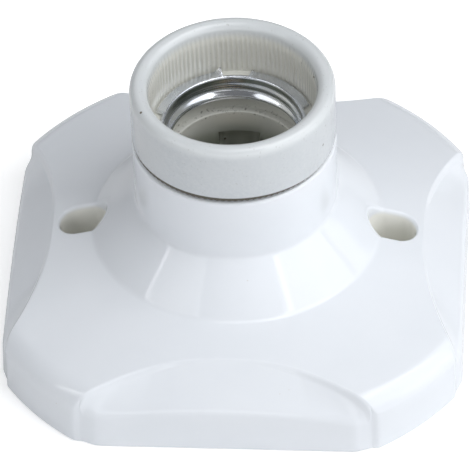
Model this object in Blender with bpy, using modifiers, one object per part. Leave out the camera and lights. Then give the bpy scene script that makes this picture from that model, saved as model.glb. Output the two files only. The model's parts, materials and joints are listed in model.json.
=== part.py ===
# Batten lamp holder: a moulded cover with a flared neck, a porcelain lamp socket in the neck,
# and the contacts, terminals and screws behind it.
# Metres, +Z up. The origin is the middle of the back face, which goes against the ceiling or wall.
# The socket's mouth points along +Z. Every size below is written in millimetres times MM.

import math

import bmesh
import bpy
from mathutils import Matrix, Vector

MM = 0.001

# Clearances
SEAT_GAP = 0.3 * MM            # between pieces that lie on each other
HOLE_CLEARANCE = 0.3 * MM      # round a screw in its hole
LEAF_PLAY = 0.4 * MM           # above the foot of the centre contact, so that it can rock

# Cover: outline of the back
LOBE_REACH = 45.0 * MM         # axis to the flat face of each side lobe
LOBE_DEPTH = 8.6 * MM          # from a lobe's face in to the nearest point of its curved step
LOBE_END_MARGIN = 19.9 * MM    # from the end of a lobe's flat face to the plane of the next face
LOBE_END_ANGLE = math.radians(21.0)
LOBE_END_RUN = 3.1 * MM        # length of the slanted end of a lobe, along its face
CORNER_OVERRUN = 7.8 * MM      # corner blocks beyond the lobes' faces, both from the axis
DRAFT = math.tan(math.radians(1.5))
COVER_WALL = 2.4 * MM

# Cover: top
PLATEAU_RADIUS = 28.5 * MM     # foot of the neck's cone
PLATEAU_HEIGHT = 18.2 * MM
PLATEAU_FALL = 0.26            # drop of the plateau for each unit of radius
LOBE_FACE_HEIGHT = 9.7 * MM    # top of a lobe's face, at its middle
LOBE_CROWN_RADIUS = 140.0 * MM
STEP_WIDTH = 1.3 * MM          # width over which the curved step falls
LOBE_EDGE_ROUND = 0.8 * MM
CORNER_EDGE_ROUND = 4.0 * MM
FOOT_FILLET = 0.7 * MM

# Cover: neck
COLLAR_RADIUS = 19.8 * MM
COLLAR_WALL = 2.4 * MM
COLLAR_TOP = 41.2 * MM
COLLAR_FOOT = 26.7 * MM
COLLAR_LIP_ROUND = 0.8 * MM
SLEEVE_WALL = 2.0 * MM
SLEEVE_OVERHANG = 0.4 * MM     # sleeve below the ears

# Cover: mounting slots, ribs and ears
SLOT_INNER_END = 25.7 * MM
SLOT_OUTER_END = 35.0 * MM
SLOT_WIDTH = 7.0 * MM
SLOT_WALL = 1.8 * MM
RIB_THICKNESS = 1.6 * MM
RIB_CLEARANCE = 6.0 * MM       # below the ribs, for the wires
EAR_BOTTOM = 11.0 * MM
EAR_THICKNESS = 2.4 * MM
EAR_RADIUS = 4.6 * MM

# Porcelain body
HEAD_RADIUS = 19.8 * MM
RIM_TOP = 54.5 * MM
RIM_ROUND = 1.7 * MM
MOUTH_RADIUS = 16.0 * MM
FLANGE_SEAT = 43.1 * MM
LEDGE_HEIGHT = 35.4 * MM
LOWER_BORE = 12.6 * MM
FLOOR_TOP = 24.5 * MM
POCKET_CEILING = 19.5 * MM
POCKET_CORNER = 1.5 * MM
RECESS_WIDTH = 8.2 * MM        # beside the foot of the centre contact
RECESS_DEPTH = 2.0 * MM
RECESS_TOP = 30.4 * MM

# Screw shell, rolled from sheet
SHELL_SHEET = 0.4 * MM
THREAD_CREST = 12.25 * MM      # smallest inner radius
THREAD_ROOT = 13.35 * MM       # largest inner radius
THREAD_PITCH = 3.63 * MM
CREST_HEIGHT = 40.6 * MM       # height of the crest at the back
SHELL_BOTTOM = 38.2 * MM
FLANGE_RADIUS = 15.5 * MM
FLANGE_ARCS = ((22.0, 80.6), (102.4, 169.0))   # degrees, ends of the arcs in each half turn
TAIL_HALF_ANGLE = math.radians(11.0)
TAIL_FOOT_WIDTH = 5.0 * MM

# Contacts and terminals
SHELL_SIDE = -1                # the shell's tail and terminal lie in front of the axis
TERMINAL_OFFSET = 8.2 * MM     # axis to the fixing screws
WIRE_SCREW_SPACING = 6.8 * MM  # fixing screw to wire screw
TERMINAL_WIDTH = 6.4 * MM
TERMINAL_THICKNESS = 2.4 * MM
CLAMP_THICKNESS = 1.0 * MM
LEAF_THICKNESS = 0.5 * MM
LEAF_WIDTH = 5.0 * MM
CONTACT_HEIGHT = 28.6 * MM     # top of the centre contact

# Screws, nuts and washers
FIXING_SCREW_RADIUS = 1.5 * MM
FIXING_HEAD_RADIUS = 2.6 * MM
FIXING_HEAD_HEIGHT = 1.8 * MM
WIRE_SCREW_RADIUS = 1.75 * MM
WIRE_HEAD_RADIUS = 2.9 * MM
WIRE_HEAD_HEIGHT = 2.0 * MM
WIRE_SCREW_TIP = 1.6 * MM      # beyond the terminal
BODY_SCREW_RADIUS = 2.0 * MM
BODY_HEAD_RADIUS = 3.5 * MM
BODY_HEAD_HEIGHT = 2.4 * MM
BODY_SCREW_CIRCLE = 12.8 * MM
BODY_SCREW_ANGLES = (math.radians(151.0), math.radians(331.0))
NUT_WIDTH = 7.0 * MM
NUT_THICKNESS = 3.2 * MM
NUT_DEPTH = 3.2 * MM           # porcelain below the nut
WASHER_RADIUS = 4.2 * MM
WASHER_THICKNESS = 0.8 * MM
SLOT_CUT_WIDTH = 0.8 * MM      # screwdriver slots
SLOT_CUT_DEPTH = 0.45          # share of the head's height

# Facets
TURN_STEPS = 48
SCREW_STEPS = 12
THREAD_STEPS = 40
THREAD_ROWS = 9
RING_SPACING = 0.1 * MM        # least run between two rings of the cover's top
COVER_ANGLES = (0.0, 6.5, 13.0, 19.5, 24.0, 27.0)   # degrees from the middle of a side, over a lobe

# Values that follow from the ones above
BORE_RADIUS = COLLAR_RADIUS - COLLAR_WALL
SLEEVE_RADIUS = BORE_RADIUS + SLEEVE_WALL
CONE_SLOPE = (COLLAR_FOOT - PLATEAU_HEIGHT) / (PLATEAU_RADIUS - COLLAR_RADIUS)
LOBE_HALF_LENGTH = LOBE_REACH - LOBE_END_MARGIN
CORNER_RADIUS = LOBE_REACH + CORNER_OVERRUN
BITE_APEX = LOBE_REACH - LOBE_DEPTH
APEX_HEIGHT = PLATEAU_HEIGHT - PLATEAU_FALL * (BITE_APEX - PLATEAU_RADIUS)
LOBE_FALL = (APEX_HEIGHT - LOBE_FACE_HEIGHT) / (LOBE_REACH - BITE_APEX)
GROOVE = Vector((LOBE_HALF_LENGTH + LOBE_END_RUN,
                 LOBE_REACH - LOBE_END_RUN * math.tan(LOBE_END_ANGLE)))
GROOVE_DEPTH = GROOVE.y - BITE_APEX
BITE_RADIUS = (GROOVE.x ** 2 + GROOVE_DEPTH ** 2) / (2.0 * GROOVE_DEPTH)
BITE_CENTRE = BITE_APEX + BITE_RADIUS
EAR_TOP = EAR_BOTTOM + EAR_THICKNESS
BODY_RADIUS = BORE_RADIUS - SEAT_GAP
BODY_BOTTOM = EAR_TOP + SEAT_GAP
HEAD_BOTTOM = COLLAR_TOP + SEAT_GAP
SHELL_BORE = THREAD_ROOT + SHELL_SHEET + SEAT_GAP
TAIL_RADIUS = THREAD_ROOT + SHELL_SHEET / 2.0
TAIL_ANGLE = math.pi - SHELL_SIDE * 0.5 * math.pi
FOOT_BOTTOM = FLOOR_TOP + SEAT_GAP
TERMINAL_TOP = POCKET_CEILING - SEAT_GAP
TERMINAL_BOTTOM = TERMINAL_TOP - TERMINAL_THICKNESS
CLAMP_TOP = TERMINAL_BOTTOM - SEAT_GAP
CLAMP_BOTTOM = CLAMP_TOP - CLAMP_THICKNESS
TERMINAL_LENGTH = WIRE_SCREW_SPACING + TERMINAL_WIDTH
NUT_BOTTOM = BODY_BOTTOM + NUT_DEPTH + SEAT_GAP
WASHER_TOP = EAR_BOTTOM - SEAT_GAP
BODY_HEAD_TOP = WASHER_TOP - WASHER_THICKNESS - SEAT_GAP


# Scene, collections and materials

def clear_scene():
    for item in list(bpy.data.objects):
        bpy.data.objects.remove(item, do_unlink=True)


def new_collection(name):
    collection = bpy.data.collections.new(name)
    bpy.context.scene.collection.children.link(collection)
    return collection


def make_material(name, colour, roughness, metallic=0.0):
    material = bpy.data.materials.new(name)
    material.use_nodes = True
    shader = material.node_tree.nodes["Principled BSDF"]
    shader.inputs["Base Color"].default_value = (*colour, 1.0)
    shader.inputs["Roughness"].default_value = roughness
    shader.inputs["Metallic"].default_value = metallic
    return material


def add_object(name, bm, collection, material=None):
    mesh = bpy.data.meshes.new(name)
    bm.to_mesh(mesh)
    bm.free()
    thing = bpy.data.objects.new(name, mesh)
    collection.objects.link(thing)
    if material is not None:
        mesh.materials.append(material)
    return thing


def smooth_round_parts(thing, angle=math.radians(30.0)):
    thing.data.shade_smooth()
    thing.data.set_sharp_from_angle(angle=angle)


# Shapes

def turned(name, profile, collection, material=None, steps=TURN_STEPS):
    """A profile of (radius, height) points, turned about Z. It runs down its outer side."""
    bm = bmesh.new()
    points = [bm.verts.new((radius, 0.0, height)) for radius, height in profile]
    for start, end in zip(points, points[1:]):
        bm.edges.new((start, end))
    thing = add_object(name, bm, collection, material)
    screw = thing.modifiers.new("turn", "SCREW")
    screw.steps = steps
    screw.render_steps = steps
    screw.use_merge_vertices = True
    screw.merge_threshold = 0.00001
    screw.use_smooth_shade = True
    return thing


def loft_ring(bm, sections):
    """Quads between closed sections that follow each other round a closed ring."""
    rows = [[bm.verts.new(point) for point in section] for section in sections]
    for index, row in enumerate(rows):
        following = rows[(index + 1) % len(rows)]
        for place in range(len(row)):
            beside = (place + 1) % len(row)
            bm.faces.new((row[place], row[beside], following[beside], following[place]))
    bmesh.ops.recalc_face_normals(bm, faces=bm.faces)


def prism(bm, outline, bottom, top):
    """A flat outline of (x, y) points, raised from bottom to top."""
    base = bm.faces.new([bm.verts.new((x, y, bottom)) for x, y in outline])
    raised = bmesh.ops.extrude_face_region(bm, geom=[base])
    verts = [item for item in raised["geom"] if isinstance(item, bmesh.types.BMVert)]
    bmesh.ops.translate(bm, vec=(0.0, 0.0, top - bottom), verts=verts)
    bmesh.ops.recalc_face_normals(bm, faces=bm.faces)


def stadium(start, end, radius, arc_steps=8):
    """Outline of a slot with round ends, lying along X."""
    points = []
    for centre, turn in ((end - radius, -0.5 * math.pi), (start + radius, 0.5 * math.pi)):
        for step in range(arc_steps + 1):
            angle = turn + math.pi * step / arc_steps
            points.append((centre + radius * math.cos(angle), radius * math.sin(angle)))
    return points


def rounded_rectangle(length, width, radius, arc_steps=3):
    points = []
    for quarter in range(4):
        sign_x = (1, -1, -1, 1)[quarter]
        sign_y = (1, 1, -1, -1)[quarter]
        centre = Vector((sign_x * (length / 2.0 - radius), sign_y * (width / 2.0 - radius)))
        for step in range(arc_steps + 1):
            angle = 0.5 * math.pi * (quarter + step / arc_steps)
            points.append(tuple(centre + radius * Vector((math.cos(angle), math.sin(angle)))))
    return points


def make_cutter(thing):
    thing.hide_render = True
    thing.display_type = "WIRE"
    return thing


def prism_object(name, outline, bottom, top, collection, place=(0.0, 0.0), turn=0.0, material=None):
    bm = bmesh.new()
    prism(bm, outline, bottom, top)
    thing = add_object(name, bm, collection, material)
    thing.location = (place[0], place[1], 0.0)
    thing.rotation_euler = (0.0, 0.0, turn)
    return thing


def cylinder_cutter(name, radius, bottom, top, place, cutters, steps=SCREW_STEPS):
    bm = bmesh.new()
    bmesh.ops.create_cone(bm, cap_ends=True, segments=steps, radius1=radius, radius2=radius,
                          depth=top - bottom, matrix=Matrix.Translation((0.0, 0.0, (top + bottom) / 2.0)))
    thing = add_object(name, bm, cutters)
    thing.location = (place[0], place[1], 0.0)
    return make_cutter(thing)


def combine(thing, other, operation):
    change = thing.modifiers.new(other.name, "BOOLEAN")
    change.operation = operation
    change.solver = "EXACT"
    change.object = other


def cut(thing, cutter):
    combine(thing, make_cutter(cutter), "DIFFERENCE")


def join(thing, other):
    combine(thing, make_cutter(other), "UNION")


# The cover's form, as functions of direction and place

def side_angle(angle):
    """Angle to the middle of the nearest side, from 0 to 45 degrees."""
    quarter = 0.5 * math.pi
    return abs((angle + 0.5 * quarter) % quarter - 0.5 * quarter)


def outline_radius(angle):
    """Distance from the axis to the outer wall."""
    turn = side_angle(angle)
    end_offset = (LOBE_HALF_LENGTH * math.sin(LOBE_END_ANGLE)
                  + LOBE_REACH * math.cos(LOBE_END_ANGLE))
    if turn <= math.atan2(GROOVE.x, GROOVE.y):
        return min(LOBE_REACH / math.cos(turn), end_offset / math.cos(turn - LOBE_END_ANGLE))
    return min(CORNER_RADIUS, GROOVE.y / math.cos(turn))


def bite_distance(radius, angle):
    """Distance from the curved step of the nearest lobe, above 0 on the plateau."""
    turn = side_angle(angle)
    across = radius * math.sin(turn)
    outward = radius * math.cos(turn)
    return math.hypot(across, BITE_CENTRE - outward) - BITE_RADIUS


def bite_crossing(angle, offset):
    """Radius at which a ray meets the curved step, moved by an offset towards the plateau."""
    turn = side_angle(angle)
    reach = BITE_RADIUS + offset
    across = BITE_CENTRE * math.sin(turn)
    if across >= reach:
        return CORNER_RADIUS * 2.0
    return BITE_CENTRE * math.cos(turn) - math.sqrt(reach * reach - across * across)


def ease(value):
    value = min(max(value, 0.0), 1.0)
    return value * value * (3.0 - 2.0 * value)


def rounding_drop(inset, rounding):
    """How far a rounded edge lies below its corner, at a distance inside the wall."""
    run = min(max(rounding - inset, 0.0), rounding)
    return rounding - math.sqrt(rounding * rounding - run * run)


def top_outline(angle):
    """Distance from the axis to the top of the outer wall, which leans inwards."""
    return outline_radius(angle) - DRAFT * LOBE_FACE_HEIGHT


def top_height(radius, angle):
    """Height of the cover's outside: cone, plateau, curved step and rounded outer edge."""
    if radius <= PLATEAU_RADIUS:
        return PLATEAU_HEIGHT + CONE_SLOPE * (PLATEAU_RADIUS - radius)
    plateau = PLATEAU_HEIGHT - PLATEAU_FALL * (radius - PLATEAU_RADIUS)
    turn = side_angle(angle)
    across = radius * math.sin(turn)
    outward = radius * math.cos(turn)
    lobe = APEX_HEIGHT - LOBE_FALL * (outward - BITE_APEX) - across ** 2 / (2.0 * LOBE_CROWN_RADIUS)
    inset = top_outline(angle) - radius
    low = min(lobe, plateau) - rounding_drop(inset, LOBE_EDGE_ROUND)
    high = plateau - rounding_drop(inset, CORNER_EDGE_ROUND)
    return low + (high - low) * ease(bite_distance(radius, angle) / STEP_WIDTH + 0.5)


def side_angles():
    """Directions of the cover's sections, all round."""
    lobe_end = math.atan2(LOBE_HALF_LENGTH, LOBE_REACH)
    groove = math.atan2(GROOVE.x, GROOVE.y)
    corner = math.radians(45.0)
    last_start = groove + 0.8 * (corner - groove)
    block_end = min(math.acos(GROOVE.y / CORNER_RADIUS), last_start)
    eighth = [math.radians(angle) for angle in COVER_ANGLES if math.radians(angle) < lobe_end - 0.02]
    eighth += [lobe_end + (groove - lobe_end) * share for share in (0.0, 0.35, 0.7, 1.0)]
    eighth.append(max(block_end, groove + 0.02))
    rest = corner - eighth[-1]
    eighth += [eighth[-1] + rest * share for share in (0.3, 0.65)]
    mirrored = [-angle for angle in reversed(eighth[1:])]
    quarter = mirrored + eighth + [corner]
    return [angle + 0.5 * math.pi * side for side in range(4) for angle in quarter]


def cover_section(angle):
    """Closed section of the cover in one direction, as (radius, height) points."""
    foot = outline_radius(angle)
    outline = top_outline(angle)
    section = [
        (BORE_RADIUS, COLLAR_TOP - 0.5 * COLLAR_LIP_ROUND),
        (BORE_RADIUS + 0.5 * COLLAR_LIP_ROUND, COLLAR_TOP),
        (COLLAR_RADIUS - COLLAR_LIP_ROUND, COLLAR_TOP),
        (COLLAR_RADIUS - 0.3 * COLLAR_LIP_ROUND, COLLAR_TOP - 0.3 * COLLAR_LIP_ROUND),
        (COLLAR_RADIUS, COLLAR_TOP - COLLAR_LIP_ROUND),
        (COLLAR_RADIUS, COLLAR_FOOT + FOOT_FILLET),
        (COLLAR_RADIUS + 0.7 * FOOT_FILLET, COLLAR_FOOT - 0.7 * FOOT_FILLET * CONE_SLOPE),
        (PLATEAU_RADIUS - FOOT_FILLET, PLATEAU_HEIGHT + FOOT_FILLET * CONE_SLOPE),
        (PLATEAU_RADIUS + FOOT_FILLET, PLATEAU_HEIGHT - FOOT_FILLET * PLATEAU_FALL),
    ]
    half_step = 0.5 * STEP_WIDTH
    for place, share in enumerate((1.0, 0.3, -0.3, -1.0)):
        limit = outline - CORNER_EDGE_ROUND * (1.4 - 0.1 * place)
        next_out = section[-1][0] + RING_SPACING
        radius = max(min(bite_crossing(angle, share * half_step), limit), next_out)
        section.append((radius, top_height(radius, angle)))
    for inset in (CORNER_EDGE_ROUND, 0.5 * CORNER_EDGE_ROUND, LOBE_EDGE_ROUND, 0.3 * LOBE_EDGE_ROUND, 0.0):
        section.append((outline - inset, top_height(outline - inset, angle)))
    section += [(foot, 0.0), (foot - COVER_WALL, 0.0)]
    for inset in (1.0, 1.6):
        radius = outline - inset * COVER_WALL
        section.append((radius, top_height(radius, angle) - COVER_WALL))
    for place, share in enumerate((-1.0, 1.0)):
        limit = outline - COVER_WALL * (1.9 + 0.3 * place)
        radius = min(bite_crossing(angle, share * half_step), limit)
        section.append((radius, top_height(radius, angle) - COVER_WALL))
    slant = COVER_WALL * math.hypot(1.0, CONE_SLOPE)
    section += [
        (PLATEAU_RADIUS - 0.4 * COVER_WALL, PLATEAU_HEIGHT - COVER_WALL),
        (SLEEVE_RADIUS + FOOT_FILLET, top_height(SLEEVE_RADIUS + FOOT_FILLET, angle) - slant),
        (SLEEVE_RADIUS, top_height(SLEEVE_RADIUS + FOOT_FILLET, angle) - slant - FOOT_FILLET),
        (SLEEVE_RADIUS, EAR_BOTTOM - SLEEVE_OVERHANG),
        (BORE_RADIUS, EAR_BOTTOM - SLEEVE_OVERHANG),
    ]
    return section


# Pieces

def slot_boss(name, turn, cutters):
    """Wall round a mounting slot, from the roof down to the back face."""
    bm = bmesh.new()
    half = SLOT_WIDTH / 2.0
    outer = stadium(SLOT_INNER_END - SLOT_WALL, SLOT_OUTER_END + SLOT_WALL, half + SLOT_WALL, arc_steps=7)
    inner = stadium(SLOT_INNER_END + 0.6 * half, SLOT_OUTER_END - 0.6 * half, 0.6 * half, arc_steps=7)
    sections = []
    for outside, inside in zip(outer, inner):
        section = []
        for (x, y), low in ((outside, True), (outside, False), (inside, False), (inside, True)):
            roof = top_height(math.hypot(x, y), math.atan2(y, x)) - 0.6 * COVER_WALL
            section.append((x, y, 0.0 if low else roof))
        sections.append(section)
    loft_ring(bm, sections)
    thing = add_object(name, bm, cutters)
    thing.rotation_euler = (0.0, 0.0, turn)
    return thing


def stiffening_rib(name, turn, cutters):
    """Upright plate under the roof, from the sleeve to a corner."""
    corner = math.radians(45.0)
    inner_end = SLEEVE_RADIUS - 0.5 * SLEEVE_WALL
    outer_end = outline_radius(corner) - 0.5 * COVER_WALL
    shoulder = outline_radius(corner) - CORNER_EDGE_ROUND
    slant = COVER_WALL * math.hypot(1.0, CONE_SLOPE)
    drop = 0.5 * COVER_WALL
    outline = [(inner_end, RIB_CLEARANCE + EAR_BOTTOM / 2.0), (PLATEAU_RADIUS, RIB_CLEARANCE),
               (outer_end, RIB_CLEARANCE),
               (outer_end, top_height(shoulder, corner) - CORNER_EDGE_ROUND),
               (shoulder, top_height(shoulder, corner) - drop),
               (PLATEAU_RADIUS, PLATEAU_HEIGHT - drop),
               (inner_end, top_height(SLEEVE_RADIUS, corner) - 0.5 * slant)]
    bm = bmesh.new()
    prism(bm, outline, -RIB_THICKNESS / 2.0, RIB_THICKNESS / 2.0)
    bmesh.ops.rotate(bm, cent=(0.0, 0.0, 0.0), matrix=Matrix.Rotation(0.5 * math.pi, 3, "X"), verts=bm.verts)
    thing = add_object(name, bm, cutters)
    thing.rotation_euler = (0.0, 0.0, turn)
    return thing


def ear(name, turn, cutters):
    """Lug inside the sleeve that carries the porcelain body, with its screw hole."""
    reach = SLEEVE_RADIUS - 0.5 * SLEEVE_WALL
    outline = [(reach, -EAR_RADIUS), (reach, EAR_RADIUS)]
    for step in range(9):
        angle = 0.5 * math.pi + math.pi * step / 8
        outline.append((BODY_SCREW_CIRCLE + EAR_RADIUS * math.cos(angle), EAR_RADIUS * math.sin(angle)))
    return prism_object(name, outline, EAR_BOTTOM, EAR_TOP, cutters, turn=turn)


def body_screw_place(turn):
    return (BODY_SCREW_CIRCLE * math.cos(turn), BODY_SCREW_CIRCLE * math.sin(turn))


def base_cover(parts, cutters, material):
    bm = bmesh.new()
    sections = []
    for angle in side_angles():
        sections.append([(radius * math.cos(angle), radius * math.sin(angle), height)
                         for radius, height in cover_section(angle)])
    loft_ring(bm, sections)
    cover = add_object("base_cover", bm, parts, material)
    smooth_round_parts(cover)
    for side, turn in (("right", 0.0), ("left", math.pi)):
        join(cover, slot_boss("slot_boss_" + side, turn, cutters))
    for index in range(4):
        join(cover, stiffening_rib("rib_%d" % index, math.radians(45.0 + 90.0 * index), cutters))
    for index, turn in enumerate(BODY_SCREW_ANGLES):
        join(cover, ear("ear_%d" % index, turn, cutters))
    slot = stadium(SLOT_INNER_END, SLOT_OUTER_END, SLOT_WIDTH / 2.0)
    for side, turn in (("right", 0.0), ("left", math.pi)):
        cut(cover, prism_object("slot_" + side, slot, -COVER_WALL, COLLAR_TOP, cutters, turn=turn))
    for index, turn in enumerate(BODY_SCREW_ANGLES):
        hole = cylinder_cutter("ear_hole_%d" % index, BODY_SCREW_RADIUS + HOLE_CLEARANCE,
                               EAR_BOTTOM - COVER_WALL, EAR_TOP + COVER_WALL,
                               body_screw_place(turn), cutters)
        cut(cover, hole)
    return cover


def rim_arc():
    """Rounded rim, from the mouth over the top to the outside."""
    points = []
    for step in range(4):
        angle = math.radians(180.0 - 30.0 * step)
        points.append((MOUTH_RADIUS + RIM_ROUND * (1.0 + math.cos(angle)),
                       RIM_TOP - RIM_ROUND * (1.0 - math.sin(angle))))
    for step in range(4):
        angle = math.radians(90.0 - 30.0 * step)
        points.append((HEAD_RADIUS - RIM_ROUND * (1.0 - math.cos(angle)),
                       RIM_TOP - RIM_ROUND * (1.0 - math.sin(angle))))
    return points


def terminal_place(side):
    """Middle of a terminal, behind the axis for side 1 and in front of it for side -1."""
    return (side * WIRE_SCREW_SPACING / 2.0, side * TERMINAL_OFFSET)


def wire_screw_place(side):
    return (side * WIRE_SCREW_SPACING, side * TERMINAL_OFFSET)


def porcelain_body(parts, cutters, material):
    chamfer = 2.0 * SEAT_GAP
    profile = [(0.0, FLOOR_TOP), (LOWER_BORE, FLOOR_TOP), (LOWER_BORE, LEDGE_HEIGHT),
               (SHELL_BORE, LEDGE_HEIGHT), (SHELL_BORE, FLANGE_SEAT), (MOUTH_RADIUS, FLANGE_SEAT)]
    profile += rim_arc()
    profile += [(HEAD_RADIUS, HEAD_BOTTOM + COLLAR_LIP_ROUND), (HEAD_RADIUS - COLLAR_LIP_ROUND, HEAD_BOTTOM),
                (BODY_RADIUS, HEAD_BOTTOM), (BODY_RADIUS, BODY_BOTTOM + chamfer),
                (BODY_RADIUS - chamfer, BODY_BOTTOM), (0.0, BODY_BOTTOM)]
    body = turned("porcelain_body", profile, parts, material)
    notch_half = TAIL_RADIUS * math.sin(TAIL_HALF_ANGLE) + 3.0 * SEAT_GAP
    notch_depth = SHELL_BORE - LOWER_BORE / 2.0
    notch = rounded_rectangle(2.0 * notch_half, notch_depth, POCKET_CORNER)
    notch_middle = SHELL_BORE - notch_depth / 2.0
    cut(body, prism_object("tail_notch", notch, FLOOR_TOP, LEDGE_HEIGHT + COVER_WALL, cutters,
                           place=(0.0, SHELL_SIDE * notch_middle)))
    recess_length = RECESS_DEPTH + LOWER_BORE / 2.0
    recess = rounded_rectangle(RECESS_WIDTH, recess_length, POCKET_CORNER)
    recess_middle = LOWER_BORE + RECESS_DEPTH - recess_length / 2.0
    cut(body, prism_object("contact_recess", recess, FLOOR_TOP, RECESS_TOP, cutters,
                           place=(0.0, -SHELL_SIDE * recess_middle)))
    pocket = rounded_rectangle(TERMINAL_LENGTH + 2.0 * SEAT_GAP, TERMINAL_WIDTH + 2.0 * SEAT_GAP,
                               POCKET_CORNER)
    for side, name in ((SHELL_SIDE, "shell"), (-SHELL_SIDE, "centre")):
        cut(body, prism_object(name + "_pocket", pocket, BODY_BOTTOM - COVER_WALL, POCKET_CEILING, cutters,
                               place=terminal_place(side)))
        cut(body, cylinder_cutter(name + "_fixing_hole", FIXING_SCREW_RADIUS + HOLE_CLEARANCE,
                                  POCKET_CEILING - COVER_WALL, FLOOR_TOP + COVER_WALL,
                                  (0.0, side * TERMINAL_OFFSET), cutters))
        cut(body, cylinder_cutter(name + "_tip_hole", WIRE_SCREW_RADIUS + HOLE_CLEARANCE,
                                  POCKET_CEILING - COVER_WALL, TERMINAL_TOP + WIRE_SCREW_TIP + 2.0 * SEAT_GAP,
                                  wire_screw_place(side), cutters))
    nut_room = NUT_WIDTH + 2.0 * SEAT_GAP
    nut_slot = rounded_rectangle(nut_room + BODY_RADIUS - BODY_SCREW_CIRCLE, nut_room, SEAT_GAP, arc_steps=1)
    nut_slot_middle = BODY_SCREW_CIRCLE + (BODY_RADIUS - BODY_SCREW_CIRCLE) / 2.0
    for index, turn in enumerate(BODY_SCREW_ANGLES):
        cut(body, cylinder_cutter("body_hole_%d" % index, BODY_SCREW_RADIUS + HOLE_CLEARANCE,
                                  BODY_BOTTOM - COVER_WALL, NUT_BOTTOM + NUT_THICKNESS + BODY_SCREW_RADIUS,
                                  body_screw_place(turn), cutters))
        place = (nut_slot_middle * math.cos(turn), nut_slot_middle * math.sin(turn))
        cut(body, prism_object("nut_slot_%d" % index, nut_slot, NUT_BOTTOM - SEAT_GAP,
                               NUT_BOTTOM + NUT_THICKNESS + SEAT_GAP, cutters, place=place, turn=turn))
    return body


def thread_radius(angle, height):
    """Inner radius of the rolled shell. The thread is right-handed, and fades out at both ends."""
    middle = 0.5 * (THREAD_ROOT + THREAD_CREST)
    swing = 0.5 * (THREAD_ROOT - THREAD_CREST)
    phase = 2.0 * math.pi * (height - CREST_HEIGHT) / THREAD_PITCH - (angle - 0.5 * math.pi)
    wave = middle - swing * math.cos(phase)
    lip = FLANGE_SEAT + SEAT_GAP
    fade = ease((lip - height) / (0.5 * THREAD_PITCH)) * ease((height - SHELL_BOTTOM) / (0.4 * THREAD_PITCH))
    return THREAD_ROOT + (wave - THREAD_ROOT) * fade


def flange_arcs():
    """Start and end of each arc of the flange, which is cut away between them."""
    return [(math.radians(start + 180.0 * half), math.radians(end + 180.0 * half))
            for half in range(2) for start, end in FLANGE_ARCS]


def flange_reach(angle):
    if any(start - 1e-6 <= angle <= end + 1e-6 for start, end in flange_arcs()):
        return FLANGE_RADIUS
    return THREAD_ROOT + 2.0 * SHELL_SHEET


def shell_angles():
    """Directions of the shell's sections, with a pair at every cut edge."""
    edge = math.radians(0.4)
    angles = [2.0 * math.pi * step / THREAD_STEPS for step in range(THREAD_STEPS)]
    cuts = []
    for start, end in flange_arcs():
        cuts += [(start - edge, start), (end, end + edge)]
    for sign in (-1.0, 1.0):
        side = TAIL_ANGLE + sign * TAIL_HALF_ANGLE
        cuts.append(tuple(sorted((side, side + sign * edge))))
    near = 2.0 * edge
    kept = [angle for angle in angles
            if all(abs((angle - value + math.pi) % (2.0 * math.pi) - math.pi) > near
                   for pair in cuts for value in pair)]
    kept += [value % (2.0 * math.pi) for pair in cuts for value in pair]
    return sorted(kept)


def screw_shell(parts, cutters, material):
    lip = FLANGE_SEAT + SEAT_GAP
    heights = [SHELL_BOTTOM + (lip - SHELL_BOTTOM) * step / THREAD_ROWS
               for step in range(THREAD_ROWS + 1)]
    sections = []
    for angle in shell_angles():
        on_tail = abs(angle - TAIL_ANGLE) <= TAIL_HALF_ANGLE + 1e-6
        bottom = FOOT_BOTTOM if on_tail else SHELL_BOTTOM
        inside = [(THREAD_ROOT, bottom)] + [(thread_radius(angle, height), height) for height in heights[1:]]
        inside.append((THREAD_ROOT + 0.4 * SHELL_SHEET, lip + 0.8 * SHELL_SHEET))
        reach = flange_reach(angle)
        flange = [(THREAD_ROOT + SHELL_SHEET, lip + SHELL_SHEET), (reach, lip + SHELL_SHEET), (reach, lip)]
        outside = [(radius + SHELL_SHEET, height) for radius, height in reversed(inside[:-1])]
        section = inside + flange + outside
        sections.append([(radius * math.cos(angle), radius * math.sin(angle), height)
                         for radius, height in section])
    bm = bmesh.new()
    loft_ring(bm, sections)
    shell = add_object("screw_shell", bm, parts, material)
    smooth_round_parts(shell)
    foot_start = TERMINAL_OFFSET - TAIL_FOOT_WIDTH / 2.0
    foot_end = TAIL_RADIUS * math.cos(TAIL_HALF_ANGLE)
    foot = rounded_rectangle(TAIL_FOOT_WIDTH, foot_end - foot_start, 2.0 * SHELL_SHEET, arc_steps=2)
    join(shell, prism_object("tail_foot", foot, FOOT_BOTTOM - 0.1 * SHELL_SHEET, FOOT_BOTTOM + SHELL_SHEET,
                             cutters, place=(0.0, SHELL_SIDE * 0.5 * (foot_start + foot_end))))
    cut(shell, cylinder_cutter("tail_foot_hole", FIXING_SCREW_RADIUS + HOLE_CLEARANCE,
                               FOOT_BOTTOM - COVER_WALL, FOOT_BOTTOM + COVER_WALL,
                               (0.0, SHELL_SIDE * TERMINAL_OFFSET), cutters))
    return shell


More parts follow.
